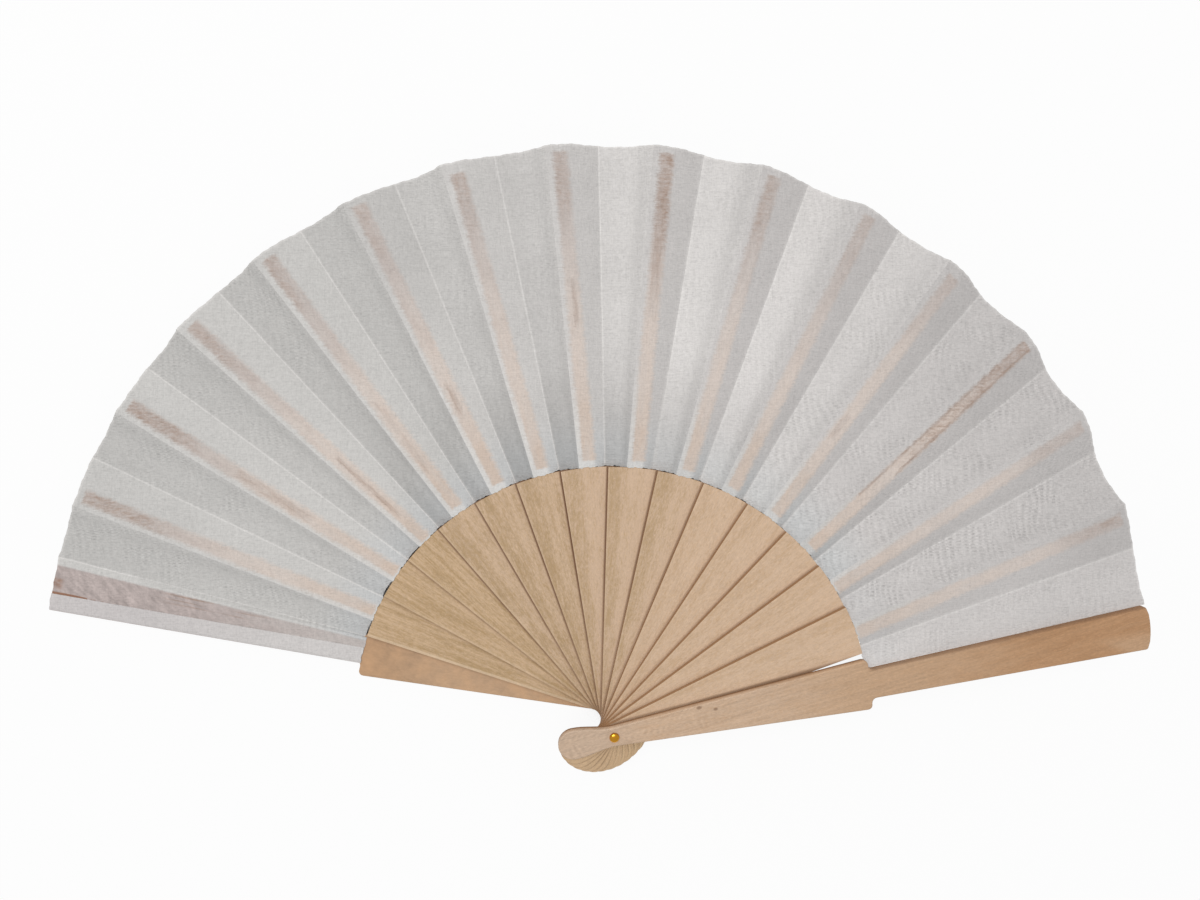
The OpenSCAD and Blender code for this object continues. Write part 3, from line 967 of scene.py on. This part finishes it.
@dataclass(frozen=True)
class WoodFinish:
    """Pale close-grained wood, sawn and sanded, with darker cut sides and painted shade and light where sticks meet.
    """

    side: Colour = paint(146, 107, 74)
    far_side: Colour = paint(164, 126, 92)
    # Painted shade where one stick meets the next and along the front guard's edge, and the colour of its two knots.
    painted_shade_and_knot: Colour = paint(112, 76, 49)
    aged: Colour = paint(194, 163, 122)
    # Painted light on the heads, where the head above casts its real shadow.
    painted_fill_light: Colour = paint(238, 208, 166)
    # pale is the painted highlight along a rib's left edge.
    pale: Colour = paint(220, 195, 165)
    outer: Timber = Timber(paint(188, 146, 108), paint(171, 129, 91), paint(146, 104, 70))
    tide_pale: Colour = paint(201, 166, 133)
    tide_dark: Colour = paint(180, 143, 108)
    tide_out: Colour = paint(180, 141, 105)
    arc_head: Colour = paint(197, 174, 153)
    arc_out: Colour = paint(187, 151, 116)
    arc_tip: Colour = paint(205, 176, 146)
    roughness: float = 0.58
    # The strength of the painted shade for each pair of sticks.
    pairs: tuple[float, ...] = (0, 2, 3, 6, 8, 10, 13, 14)
    contact_shades: tuple[float, ...] = (0.2, 0.45, 0.75, 1.0, 0.8, 0.45, 0.38, 0.75)

    def dress(self, stick: int, plan: FanPlan, tone: Tone) -> bpy.types.Material:
        """The finish of one stick, whose grain runs along it.

        Args:
            stick: The stick's number.
            plan: The fan's sizes.
            tone: The cut of its wood.

        Returns:
            The material.
        """
        nodes = Nodes(f"wood_{plan.body(stick)}")
        place = nodes.node("ShaderNodeTexCoord", {}, {}, out=3)
        along = nodes.turned(place, -plan.heading(stick), 1 / MM)
        x, y, z = nodes.parts(along)
        seed = stick * 4.3 + 1
        wood = tone.value
        fine = nodes.noise(along, (0.09, 1.9, 0.5), seed, 4.0, 0.7)
        grain = nodes.noise(along, (0.55, 1.3, 0.5), seed + 3, 4.0, 0.85)
        streaks = (0.1 - 0.06 * wood.striped, 0.45 + 0.25 * wood.striped, 0.2)
        clump = nodes.noise(along, streaks, seed + 1, 3.0, 0.6)
        fleck = nodes.noise(along, (0.75, 1.6, 1.0), seed + 2, 3.0, 0.8)
        sway = nodes.noise(along, (0.03, 0.12, 0.1), seed + 5, 2.0)
        stripe = (y * 6.4 + x * 0.25 + sway * 16.0).sine() * wood.striped
        lean = y.step(0.0, 6.0) * wood.lean - wood.lean / 2
        share = lean + clump * (1.5 + wood.striped) + grain * 3.4 + fine * 0.9 + stripe * 0.06 + wood.spread
        colour = nodes.blend(share, wood.ground, wood.stain)
        colour = nodes.blend((fine * 0.9 + fleck * 0.7).step(0.06, 0.36) * 0.7, colour, wood.fibre)
        light = 1.0 + fleck * 0.6 + grain * 0.3 + fine * 0.25 + fleck.step(0.1, 0.24) * 0.08
        if stick == 0:
            colour, light = self.tide(nodes, along, x, fleck, colour)
        if stick == plan.last:
            colour, light = self.arcs(nodes, plan, along, x, y, fine, colour, light)
        elif stick > 0:
            # Painted highlight: a pale band along the rib's left edge, as if its rounded edge caught the light.
            wide, much = (1.25, 0.6) if stick == 1 else (1.0, 0.3) if stick < 5 else (0.75, 0.2)
            cut = (y - self.half(plan, x)).step(-wide, 0.5 - wide) * much
            colour = nodes.blend(cut, colour, self.pale)
        colour = nodes.scaled(colour, light)
        _, _, up = nodes.parts(nodes.node("ShaderNodeNewGeometry", {}, {}, out=1))
        head = x.step(0.0, -6.0)
        if 0 < stick < plan.last:
            colour = nodes.blend(head * 0.6, colour, nodes.scaled(self.aged, light))
        colour = self.paint_contact_shade(nodes, plan, place, stick, x, up, colour)
        wall = nodes.blend(ramp(stick, 5, 12), self.side, self.far_side)
        if stick in (0, plan.last):
            base = 0.0 if stick == 0 else plan.top(stick - 1) + plan.stick_gap
            wall = nodes.blend((z - base).step(0.8, 1.5), self.side, colour)
        colour = nodes.blend(1 - abs(up).step(0.3, 0.9), colour, wall)
        relief = fine * 0.8 + fleck * 0.6 + grain * 0.4
        return nodes.finish({
            "Base Color": colour,
            "Roughness": self.roughness + fine * 0.15,
            "Normal": nodes.bump(relief, 0.0001),
        })

    def paint_contact_shade(self, nodes: Nodes, plan: FanPlan, place: Shade, stick: int, x: Shade, up: Shade,
            colour: Shade) -> Shade:
        """Paints shade where a stick meets each neighbour, and light on the head's right beside the upper one.

        Args:
            nodes: The material's tree.
            plan: The fan's sizes.
            place: The place on the open fan, in metres.
            stick: The stick's number.
            x: The distance from the rivet along the stick.
            up: How far the face looks up.
            colour: The wood's colour.

        Returns:
            The new colour.
        """
        head = x.step(0.0, -6.0)
        east = nodes.parts(place)[0].step(-3.0 * MM, 2.0 * MM)
        # Painted shade: a dark line beside each neighbour's outline, wider where the upper stick hides part of it.
        # Painted light: the right of the heads is lit where the upper head casts its shadow.
        for other, away in ((stick + 1, up), (stick - 1, up * -1.0)):
            if not 0 <= other <= plan.last:
                continue
            pair, above = min(stick, other), other > stick
            deep = float(np.interp(pair, self.pairs, self.contact_shades))
            start, behind = max(0.0, 0.8 - 0.12 * pair), 0.4 + 0.03 * pair
            wide = x.step(30.0, 90.0) * (1.0 if pair == plan.last - 1 else 0.0) + (start + 1.0)
            low = head * (wide * -1.0 + (behind + 0.7)) + wide
            high = head * (behind - start - 0.1) + (start + 0.15)
            outside, facing = self.outline(nodes, plan, place, other), away.step(0.3, 0.9)
            shaded = head * east if above else 0.0
            much = (head * (0.5 - deep) + deep) * (x.step(70.0, 12.0) * -0.35 + 1.0) * (1 - shaded)
            colour = nodes.blend(outside.step(low, high) * facing * much, colour, self.painted_shade_and_knot)
            if above:
                colour = nodes.blend(outside.step(1.5, 0.7) * facing * shaded * 0.6, colour, self.painted_fill_light)
        return colour

    def half(self, plan: FanPlan, x: Shade) -> Shade:
        """Half a stick's width in its gorge: eased from the head's to the waist's, and then straight outwards.

        Args:
            plan: The fan's sizes.
            x: The distance from the rivet along the stick.

        Returns:
            The half width, in millimetres.
        """
        flare = (plan.shoulder_w - plan.waist_w) / 2 / plan.shoulder_r
        eased = x.step(plan.head_w / 2 - plan.head_reach, 0.0) * ((plan.waist_w - plan.head_w) / 2)
        return eased + plan.head_w / 2 + x.either(0.0) * flare

    def outline(self, nodes: Nodes, plan: FanPlan, place: Shade, stick: int) -> Shade:
        """How far each place lies outside the outline of another stick, in millimetres.

        Behind the middle of the round head the distance is taken from that middle, and elsewhere square to the
        stick.

        Args:
            nodes: The material's tree.
            plan: The fan's sizes.
            place: The place on the open fan, in metres.
            stick: The other stick's number.

        Returns:
            The distance, which is below 0 inside.
        """
        x, y, _ = nodes.parts(nodes.turned(place, -plan.heading(stick), 1 / MM))
        behind = (x * -1.0 + (plan.head_w / 2 - plan.head_reach)).either(0.0)
        return (behind * behind + y * y).root() - self.half(plan, x)

    def tide(self, nodes: Nodes, along: Shade, x: Shade, fleck: Shade, colour: Shade) -> tuple[Shade, Shade]:
        """Gives the rear guard the blotched face and the scalloped tide marks of flat-sawn wood.

        Args:
            nodes: The material's tree.
            along: The place on the stick, in millimetres.
            x: The distance from the rivet.
            fleck: The wood's flecks.
            colour: The wood's colour.

        Returns:
            The new colour and brightness.
        """
        hills = nodes.noise(along, (0.09, 0.14, 0.1), 71.0, 1.0) * 7.0 + x * 0.1
        rise = nodes.node("ShaderNodeMath", {"operation": "FRACT"}, {0: hills})
        mark = rise * (1 - rise.step(0.8, 1.0))
        blotch = nodes.noise(along, (0.13, 0.12, 0.1), 72.0, 3.0, 0.6)
        smooth = nodes.blend(blotch * 2.2 + 0.4, self.tide_pale, self.tide_dark)
        colour = nodes.blend(0.75, colour, smooth)
        colour = nodes.blend(x.step(60.0, 100.0) * 0.6, colour, self.tide_out)
        return colour, mark * 0.07 + blotch * 1.0 + fleck * 0.3 + 1.0 - x.step(50.0, 100.0) * 0.04

    def arcs(self, nodes: Nodes, plan: FanPlan, along: Shade, x: Shade, y: Shade, fine: Shade, colour: Shade,
             light: Shade) -> tuple[Shade, Shade]:
        """Gives the front guard its growth arcs round the rivet, its slanted fibres and its browner outer half.

        Args:
            nodes: The material's tree.
            plan: The fan's sizes.
            along: The place on the stick, in millimetres.
            x: The distance from the rivet along the stick.
            y: The distance from the middle line.
            fine: The wood's fibres.
            colour: The wood's colour.
            light: The wood's brightness round 1.

        Returns:
            The new colour and brightness.
        """
        sway = nodes.noise(along, (0.1, 0.25, 0.1), 73.0, 3.0)
        here = nodes.noise(along, (0.12, 0.3, 0.1), 76.0, 2.0).step(-0.02, 0.14)
        arc = (x * 2.6 - (y * y) * 0.22 + sway * 14.0).sine() * x.step(55.0, 10.0) * here
        slanted = nodes.noise(nodes.turned(along, -6.0), (0.03, 1.1, 0.3), 74.0, 4.0, 0.7)
        head = x.step(14.0, -6.0)
        colour = nodes.blend(head * 0.55, colour, self.arc_head)
        colour = nodes.blend((x + sway * 30.0).step(55.0, 95.0) * 0.6, colour, self.arc_out)
        stain = nodes.noise(nodes.turned(along, -9.0), (0.04, 0.6, 0.3), 75.0, 4.0, 0.7)
        outer = nodes.blend(stain * 2.6 + slanted * 1.6 + 0.45, self.outer.ground, self.outer.stain)
        outer = nodes.blend((fine + slanted * 0.9).step(0.08, 0.4) * 0.7, outer, self.outer.fibre)
        colour = nodes.blend((x + sway * 40.0).step(96.0, 180.0), colour, outer)
        edge = plan.tapered(x, plan.guard_foot_w, plan.guard_tip_w)
        # Painted shade: a dark line along the guard's left edge beside the leaf.
        colour = nodes.blend((y - edge).step(-0.8, -0.2) * x.step(96.0, 99.0) * 0.5, colour, self.painted_shade_and_knot)
        pale = (x + y * 1.6).within(186.0, 206.0, 4.0) * y.step(1.0, -5.0) * 0.35
        colour = nodes.blend(pale, colour, self.arc_tip)
        for far, left, size in ((32.2, 4.7, 0.9), (38.1, 2.9, 0.6)):
            reach = (x - far) * (x - far) * 0.5 + (y - left) * (y - left)
            colour = nodes.blend(reach.step(size, 0.0) * 0.6, colour, self.painted_shade_and_knot)
        return colour, light + arc * 0.08 + slanted * 0.5


@dataclass(frozen=True)
class BrassFinish:
    """Polished yellow brass with fine scratches, dull spots and painted shade on its steep sides."""

    bright: Colour = paint(238, 170, 56)
    dull: Colour = paint(138, 78, 22)
    roughness: float = 0.22

    def dress(self) -> bpy.types.Material:
        """Makes the material of the rivet's pieces.

        Returns:
            The material.
        """
        nodes = Nodes("brass")
        place = nodes.node("ShaderNodeTexCoord", {}, {}, out=3)
        spots = nodes.noise(place, (1200.0, 1200.0, 1200.0), 3.0, 3.0, 0.6)
        lines = nodes.noise(place, (500.0, 9000.0, 500.0), 5.0, 1.0)
        _, _, up = nodes.parts(nodes.node("ShaderNodeNewGeometry", {}, {}, out=1))
        # Painted shade on the steep sides of the rivet's pieces, with dull spots all over.
        worn = (1 - abs(up).step(0.15, 0.8)) * 0.85 + spots * 0.8
        return nodes.finish({
            "Base Color": nodes.blend(worn, self.bright, self.dull),
            "Metallic": 1.0,
            "Roughness": self.roughness + spots * 0.2 + lines * 0.1,
            "Normal": nodes.bump(lines, 0.00001),
        })


# ---------------------------------------------------------------------------------------------------------------
# Sub-assemblies


@dataclass
class GluedPanel:
    """The cloth glued on one stick: flat from its ridge over the blade, and then down to its valley."""

    plan: FanPlan
    stick: int
    rows: int = 90
    flat_columns: int = 11
    slope_columns: int = 13
    slope_power: float = 1.15

    def grid(self) -> Cloth:
        """Works out the panel.

        The flat part goes in a straight line from the ridge to the blade's right edge. The slope goes from there
        to the valley, and falls with the 1.15th power of the way, so that the silk leaves the blade gently.

        Returns:
            The panel as a grid.
        """
        plan, stick = self.plan, self.stick
        s = np.linspace(0, 1, self.rows)[:, None]
        r = mix(plan.leaf_in, plan.leaf_r, s)
        ridge, valley = plan.ridge(stick), plan.valley(stick)
        start = ridge[0] + (ridge[1] - ridge[0]) * s
        end = valley[0] + (valley[1] - valley[0]) * s
        z = plan.top(stick) + plan.silk_t
        edge = plan.on_stick(stick, r[:, 0], -plan.half(stick, r[:, 0]), z + 0 * r[:, 0])
        a = np.linspace(0, 1, self.flat_columns)[None, :, None]
        flat = start[:, None] + (edge - start)[:, None] * a
        flat[..., 2] = z + (start[:, None, 2] - z) * (1 - a[..., 0]) ** 2.5
        b = np.linspace(0, 1, self.slope_columns)[None, 1:, None]
        slope = edge[:, None] + (end - edge)[:, None] * b
        slope[..., 2] = z + (end[:, None, 2] - z) * b[..., 0] ** self.slope_power
        points = np.concatenate([flat, slope], axis=1)
        wide = np.linalg.norm(np.diff(points, axis=1), axis=-1)
        run = np.concatenate([np.zeros((self.rows, 1)), np.cumsum(wide, axis=1)], axis=1)
        u = plan.left_edge(stick, r) - run
        strip = np.stack(np.broadcast_arrays(u, r), axis=-1)
        fold = np.stack([run / run[:, -1:], run[:, -1:] - run], axis=-1)
        out = np.concatenate([0 * a[..., 0], b[..., 0]], axis=1) * plan.bulge(stick)
        return Cloth(f"silk_glued_{stick:02d}", frayed(points, s, out), strip, fold, thick=plan.silk_t - 0.04)

    def make(self, material: bpy.types.Material) -> bpy.types.Object:
        """Builds the panel, ties it to its stick and hides its CAD solid.

        Args:
            material: The panel's finish.

        Returns:
            The piece.
        """
        piece = self.grid().build(material)
        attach(piece, self.plan.body(self.stick))
        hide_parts(f"leaf_panel_{self.stick:02d}")
        return piece

    def declare(self) -> None:
        """Works out the panel's mean width and the area of its cloth, and does nothing more with them.
        """
        strip = self.grid().strip
        width = strip[:, 0, 0] - strip[:, -1, 0]
        length = self.plan.leaf_r - self.plan.leaf_in
        self.plan.body(self.stick)
        float(width.mean() * length) * MM * MM


def frayed(points: Array, s: Array, out: Array | float = 0.0) -> Array:
    """Moves the inner edge and the rim a little along the radius, so that neither is cut clean.

    Args:
        points: The grid, with x, y and z last.
        s: The share of the length, from the inner edge to the rim.
        out: How far the rim is let out in each column.

    Returns:
        The moved grid.
    """
    stray = strayed(s, ragged(points, INNER_STRAY), ragged(points[..., [1, 0, 2]], RIM_STRAY), out)
    radius = np.hypot(points[..., 0], points[..., 1])
    moved = points.copy()
    moved[..., :2] *= (1 + stray / radius)[..., None]
    return moved


@dataclass
class FreePanel:
    """The cloth that hangs from the valley beside one stick to the ridge of the next."""

    plan: FanPlan
    stick: int
    rows: int = 90
    columns: int = 19
    power: float = 2.3
    pucker: float = 0.07
    slits: tuple[float, ...] = (0.7, 0.7, 0.35)

    def grid(self) -> Cloth:
        """Works out the panel.

        The grid is a ruled face: each row is a straight line from the valley to the next ridge. The sag takes its
        height from a straight climb to the 2.3rd power of the way, with long puckers on it.

        Returns:
            The panel as a grid.
        """
        plan, stick = self.plan, self.stick
        s = np.linspace(0, 1, self.rows)[:, None]
        a = np.linspace(0, 1, self.columns)[None, :]
        valley, ridge = plan.valley(stick), plan.ridge(stick + 1)
        inner = valley[0] + (ridge[0] - valley[0]) * a[..., None]
        stray = ragged(inner, INNER_STRAY)
        rim = valley[1] + (ridge[1] - valley[1]) * a[..., None]
        stray_rim = ragged(rim[..., [1, 0, 2]], RIM_STRAY)
        length = plan.leaf_r - plan.leaf_in
        if stick < len(self.slits):
            gape = np.sin(np.pi * a) ** 0.35 * (0.6 + 0.8 * (1 - a))
            stray = stray * (0.08 + 0.92 * np.cos(np.pi * a) ** 8) + self.slits[stick] * gape
        t = s + strayed(s, stray, stray_rim, (1 - a) * plan.bulge(stick)) / length
        left = valley[0] + (valley[1] - valley[0]) * t[..., None]
        right = ridge[0] + (ridge[1] - ridge[0]) * t[..., None]
        points = left + (right - left) * a[..., None]
        r = mix(plan.leaf_in, plan.leaf_r, s)
        climb = right[..., 2] - left[..., 2]
        width = np.linalg.norm((right - left)[..., :2], axis=-1)
        u = a * width
        still = np.sin(np.pi * a) ** 0.8
        phase = stick * 1.9
        long = np.sin(r / 17.0 + 2.4 * a + phase) * np.sin(r / 41.0 + phase * 0.7) * 2.0
        cross = 0.25 * np.sin(r / 5.1 - u / 2.7 + phase * 2) * np.sin(r / 19.0 + phase)
        sag = climb * (a - a ** self.power) + self.pucker * still * (long + cross + 1.5)
        strip = np.stack(np.broadcast_arrays(u, r), axis=-1)
        fold = np.stack([a + 0 * u, u], axis=-1)
        return Cloth(f"silk_free_{stick:02d}", points, strip, fold, np.maximum(sag, 0), plan.silk_t - 0.04)

    def crossing(self) -> tuple[Vector, Vector]:
        """The short way from the valley's line to the ridge's, square to both, along which the cloth turns.

        Both lines are straight and pass each other, so a point's share of this way is 0 all along the valley, 1
        all along the ridge, and in between its share of the width.

        Returns:
            The start and the end, in metres.
        """
        valley, ridge = self.plan.valley(self.stick), self.plan.ridge(self.stick + 1)
        square = np.cross(valley[1] - valley[0], ridge[1] - ridge[0])
        square = square / np.dot(ridge[0] - valley[0], square)
        end = valley[0] + square / np.dot(square, square)
        return Vector(valley[0] * MM), Vector(end * MM)

    def make(self, material: bpy.types.Material) -> bpy.types.Object:
        """Builds the panel and hides its CAD solid.

        Args:
            material: The panel's finish.

        Returns:
            The piece.
        """
        cloth = self.grid()
        piece = cloth.build(material)
        start, end = self.crossing()
        plan = self.plan
        plan.body(self.stick)
        plan.body(self.stick + 1)
        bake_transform(piece)
        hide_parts(f"leaf_fold_{self.stick:02d}")
        return piece


@dataclass
class Hem:
    """The double hem along the rear guard, and the tab that is glued under the front guard."""

    plan: FanPlan
    rows: int = 90
    columns: int = 12

    def strip(self, name: str, stick: int, left: Array, right: Array, z: float, crown: float) -> Cloth:
        """A strip along a stick, with its left edge rolled over.

        Args:
            name: The piece's name.
            stick: The stick's number.
            left: The left edge's offset at each radius.
            right: The right edge's offset at each radius.
            z: The height of the upper face.
            crown: How far the left edge is rolled down.

        Returns:
            The strip as a grid.
        """
        s = np.linspace(0, 1, self.rows)[:, None]
        r = mix(self.plan.leaf_in, self.plan.leaf_r, s)
        a = np.linspace(0, 1, self.columns)[None, :]
        offset = left + (right - left) * a
        height = z - crown * (1 - np.clip(a / 0.12, 0, 1)) ** 2 + 0.03 * np.sin(r / 7.0) * a
        points = self.plan.on_stick(stick, r + 0 * a, offset, height)
        along = np.stack(np.broadcast_arrays(offset, r), axis=-1)
        fold = np.stack(np.broadcast_arrays(a, 9.0 + 0 * offset), axis=-1)
        return Cloth(name, frayed(points, s), along, fold, thick=self.plan.silk_t)

    def make(self, finish: SilkFinish) -> tuple[bpy.types.Object, bpy.types.Object]:
        """Builds both strips.

        Args:
            finish: The silk.

        Returns:
            The hem and the tab.
        """
        plan = self.plan
        material = finish.hem()
        r = mix(plan.leaf_in, plan.leaf_r, np.linspace(0, 1, self.rows))[:, None]
        left = plan.left_edge(0, r)
        right = left - mix(plan.hem_foot_w, plan.hem_rim_w, plan.share(r))
        hem = self.strip("silk_hem", 0, left, right, plan.top(0) + 2 * plan.silk_t, 0.25).build(material)
        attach(hem, plan.body(0))
        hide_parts("leaf_hem")
        left = plan.guard_half(r) - plan.fold_gap
        right = plan.guard_half(r) - plan.tab_w
        tab = self.strip("silk_end_tab", plan.last, left, right, plan.tab_z, 0.0)
        inside = tab.points[:, :, :2] / np.linalg.norm(tab.points[:, :, :2], axis=-1, keepdims=True)
        reach = np.minimum(np.linalg.norm(tab.points[:, :, :2], axis=-1), plan.guard_reach - plan.tip_inset)
        tab.points[:, :, :2] = inside * reach[..., None]
        under = tab.build(material)
        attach(under, plan.body(plan.last))
        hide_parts("leaf_end_tab")
        return hem, under


@dataclass
class Leaf:
    """The whole pleated leaf: sixteen sticks carry fifteen glued and fifteen free panels, a hem and a tab."""

    plan: FanPlan
    finish: SilkFinish

    def ripple(self, stick: int) -> float:
        """How strongly the silk is rippled beside a stick: most at both ends of the fan, and more at the front."""
        return 1.1 if stick == 14 else 0.5 + abs(stick - 7) / (7.5 if stick < 7 else 3.5)

    def build(self) -> None:
        """Makes every piece of the leaf in order."""
        plan, finish = self.plan, self.finish
        hem, tab = Hem(plan).make(finish)
        log.info("made %s and %s", hem.name, tab.name)
        first = GluedPanel(plan, 0)
        piece = first.make(finish.first(plan))
        first.declare()
        log.info("made %s", piece.name)
        for stick in range(1, plan.last):
            panel = GluedPanel(plan, stick)
            piece = panel.make(finish.glued(stick, STRIPS[stick - 1], plan, self.ripple(stick) * 0.35))
            panel.declare()
            log.info("made %s", piece.name)
        for stick in range(plan.last):
            material = finish.free(stick, plan, self.ripple(stick), PANEL_LIGHTING[stick].value)
            piece = FreePanel(plan, stick).make(material)
            log.info("made %s", piece.name)


@dataclass
class Sticks:
    """The sixteen sticks, which keep their CAD shapes."""

    plan: FanPlan
    finish: WoodFinish

    def dress(self) -> None:
        """Gives each stick its own wood."""
        for stick in range(self.plan.last + 1):
            repaint(self.plan.body(stick), self.finish.dress(stick, self.plan, TONES[stick]))


@dataclass
class Rivet:
    """The brass rivet: its pin and washer keep their CAD shapes, and its head gets a smooth dome."""

    finish: BrassFinish
    radius: float = 1.8
    height: float = 1.1
    lip: float = 0.22
    base: float = 27.75
    sides: int = 64
    rings: int = 20

    def dome(self) -> bpy.types.Object:
        """Makes the head by turning its outline round the rivet's axis.

        The outline climbs the lip, and then follows a quarter of an ellipse to the top: the radius falls with the
        cosine of a turn and the height climbs with its sine.

        Returns:
            The head.
        """
        turn = np.linspace(0, np.pi / 2, self.rings)
        radius = np.concatenate([[0.0, self.radius * 0.97, self.radius], self.radius * np.cos(turn) ** 0.9])
        radius[-1] = 0.0
        height = np.concatenate([[0.0, 0.0, self.lip * 0.4], self.lip + (self.height - self.lip) * np.sin(turn)])
        around = np.linspace(0, 2 * np.pi, self.sides, endpoint=False)
        ring = np.stack([np.outer(radius, np.cos(around)), np.outer(radius, np.sin(around)),
                         np.repeat(height[:, None] + self.base, self.sides, 1)], axis=-1)
        count = len(radius)
        index = np.arange(count * self.sides).reshape(count, self.sides)
        after = np.roll(index, -1, axis=1)
        faces = np.stack([index[:-1], after[:-1], after[1:], index[1:]], axis=-1).reshape(-1, 4)
        mesh = bpy.data.meshes.new("rivet_dome")
        mesh.from_pydata((ring.reshape(-1, 3) * MM).tolist(), [], faces.tolist())
        piece = stand("rivet_dome", mesh)
        weld(mesh)
        mesh.polygons.foreach_set("use_smooth", np.ones(len(mesh.polygons), bool))
        return piece

    def build(self) -> None:
        """Makes the head and dresses all three pieces."""
        brass = self.finish.dress()
        piece = self.dome()
        piece.data.materials.append(brass)
        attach(piece, "front_guard")
        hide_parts("rivet_head")
        log.info("made %s", piece.name)
        for name in ("rivet_pin", "rivet_washer"):
            repaint(name, brass)


def weld(mesh: bpy.types.Mesh) -> None:
    """Merges doubled points and points the faces outwards.

    Args:
        mesh: The mesh to close.
    """
    made = bmesh.new()
    made.from_mesh(mesh)
    bmesh.ops.remove_doubles(made, verts=made.verts, dist=1e-7)
    bmesh.ops.dissolve_degenerate(made, dist=1e-7, edges=made.edges)
    bmesh.ops.recalc_face_normals(made, faces=made.faces)
    made.to_mesh(mesh)
    made.free()


@dataclass
class Studio:
    """A pale floor, one broad soft lamp above the fan, even white light all round, and the camera."""

    floor_half: float = 1500.0
    floor_z: float = -0.3
    floor_grey: float = 0.86
    shade_from: float = 0.12
    shade_to: float = 0.25
    shade_far: float = 0.3
    floor_glow: float = 0.9
    lamp_from: tuple[float, float, float] = (-0.250, 0.377, 0.891)
    lamp_far: float = 2.6
    lamp_size: float = 1.5
    lamp_share: float = 0.5
    sky: float = 0.5
    eye: tuple[float, float, float] = (-26.51, 133.90, 254.99)
    tilt: tuple[float, float, float] = (-7.29, -5.07, -0.12)
    lens: float = 20.22

    def floor(self) -> None:
        """Lays the plain floor. Where it lies in the open it glows white to the camera, and its own shade shows
        where the fan hides it from the air.
        """
        corners = np.array([[-1, -1, 0], [1, -1, 0], [1, 1, 0], [-1, 1, 0]])
        points = corners * self.floor_half + np.array([0, 0, self.floor_z])
        mesh = bpy.data.meshes.new("floor")
        mesh.from_pydata((points * MM).tolist(), [], [(0, 1, 2, 3)])
        piece = stand("floor", mesh)
        nodes = Nodes("floor")
        rays = nodes.node("ShaderNodeLightPath")
        sockets = rays.socket.node.outputs
        seen = Shade(nodes, sockets["Is Camera Ray"]).either(Shade(nodes, sockets["Is Glossy Ray"]))
        seen = seen.either(Shade(nodes, sockets["Is Transmission Ray"]))
        matt = nodes.node("ShaderNodeBsdfDiffuse", {}, {"Color": (self.floor_grey,) * 3})
        white = nodes.node("ShaderNodeEmission", {}, {"Color": (1.0, 1.0, 1.0), "Strength": 1.0})
        open_air = nodes.node("ShaderNodeAmbientOcclusion", {"samples": 8}, {"Distance": self.shade_far}, out=1)
        share = seen * open_air.step(self.shade_from, self.shade_to) * self.floor_glow
        shown = nodes.node("ShaderNodeMixShader", {}, {0: share, 1: matt, 2: white})
        mesh.materials.append(nodes.show(shown))

    def light(self) -> None:
        """Sets the lamp and the world so that a flat white face gets a light of 1 in all."""
        direction = Vector(self.lamp_from).normalized()
        lamp = bpy.data.lights.new("softbox", "AREA")
        lamp.shape = "DISK"
        lamp.size = self.lamp_size
        lamp.energy = self.lamp_share * math.pi ** 2 * self.lamp_far ** 2 / direction.z
        holder = stand("softbox", lamp)
        holder.location = direction * self.lamp_far + Vector((0, 0.1, 0))
        holder.rotation_euler = direction.to_track_quat("Z", "Y").to_euler()
        world = bpy.data.worlds.new("studio")
        world.use_nodes = True
        glow = world.node_tree.nodes["Background"].inputs
        glow["Color"].default_value = (1.0, 1.0, 1.0, 1.0)
        glow["Strength"].default_value = self.sky
        bpy.context.scene.world = world

    def camera(self) -> None:
        """Stands the camera above the leaf, a quarter of a metre up, looking almost straight down."""
        data = bpy.data.cameras.new("camera")
        data.sensor_width = 36.0
        data.lens = self.lens
        data.clip_start = 0.01
        eye = stand("camera", data)
        eye.rotation_mode = "ZYX"
        eye.rotation_euler = Euler([math.radians(t) for t in self.tilt], "ZYX")
        eye.location = Vector(self.eye) * MM
        bpy.context.scene.camera = eye

    def build(self) -> None:
        """Sets up the whole studio."""
        bpy.context.scene.view_settings.view_transform = "Standard"
        self.floor()
        self.light()
        self.camera()
        log.info("set the studio")


def main() -> None:
    """Builds the studio, the sticks, the rivet and the leaf."""
    logging.basicConfig(level=logging.INFO, format="%(name)s: %(message)s")
    plan = FanPlan()
    Studio().build()
    Sticks(plan, WoodFinish()).dress()
    Rivet(BrassFinish()).build()
    Leaf(plan, SilkFinish()).build()
    bpy.context.view_layer.update()


if __name__ == "__main__":
    main()
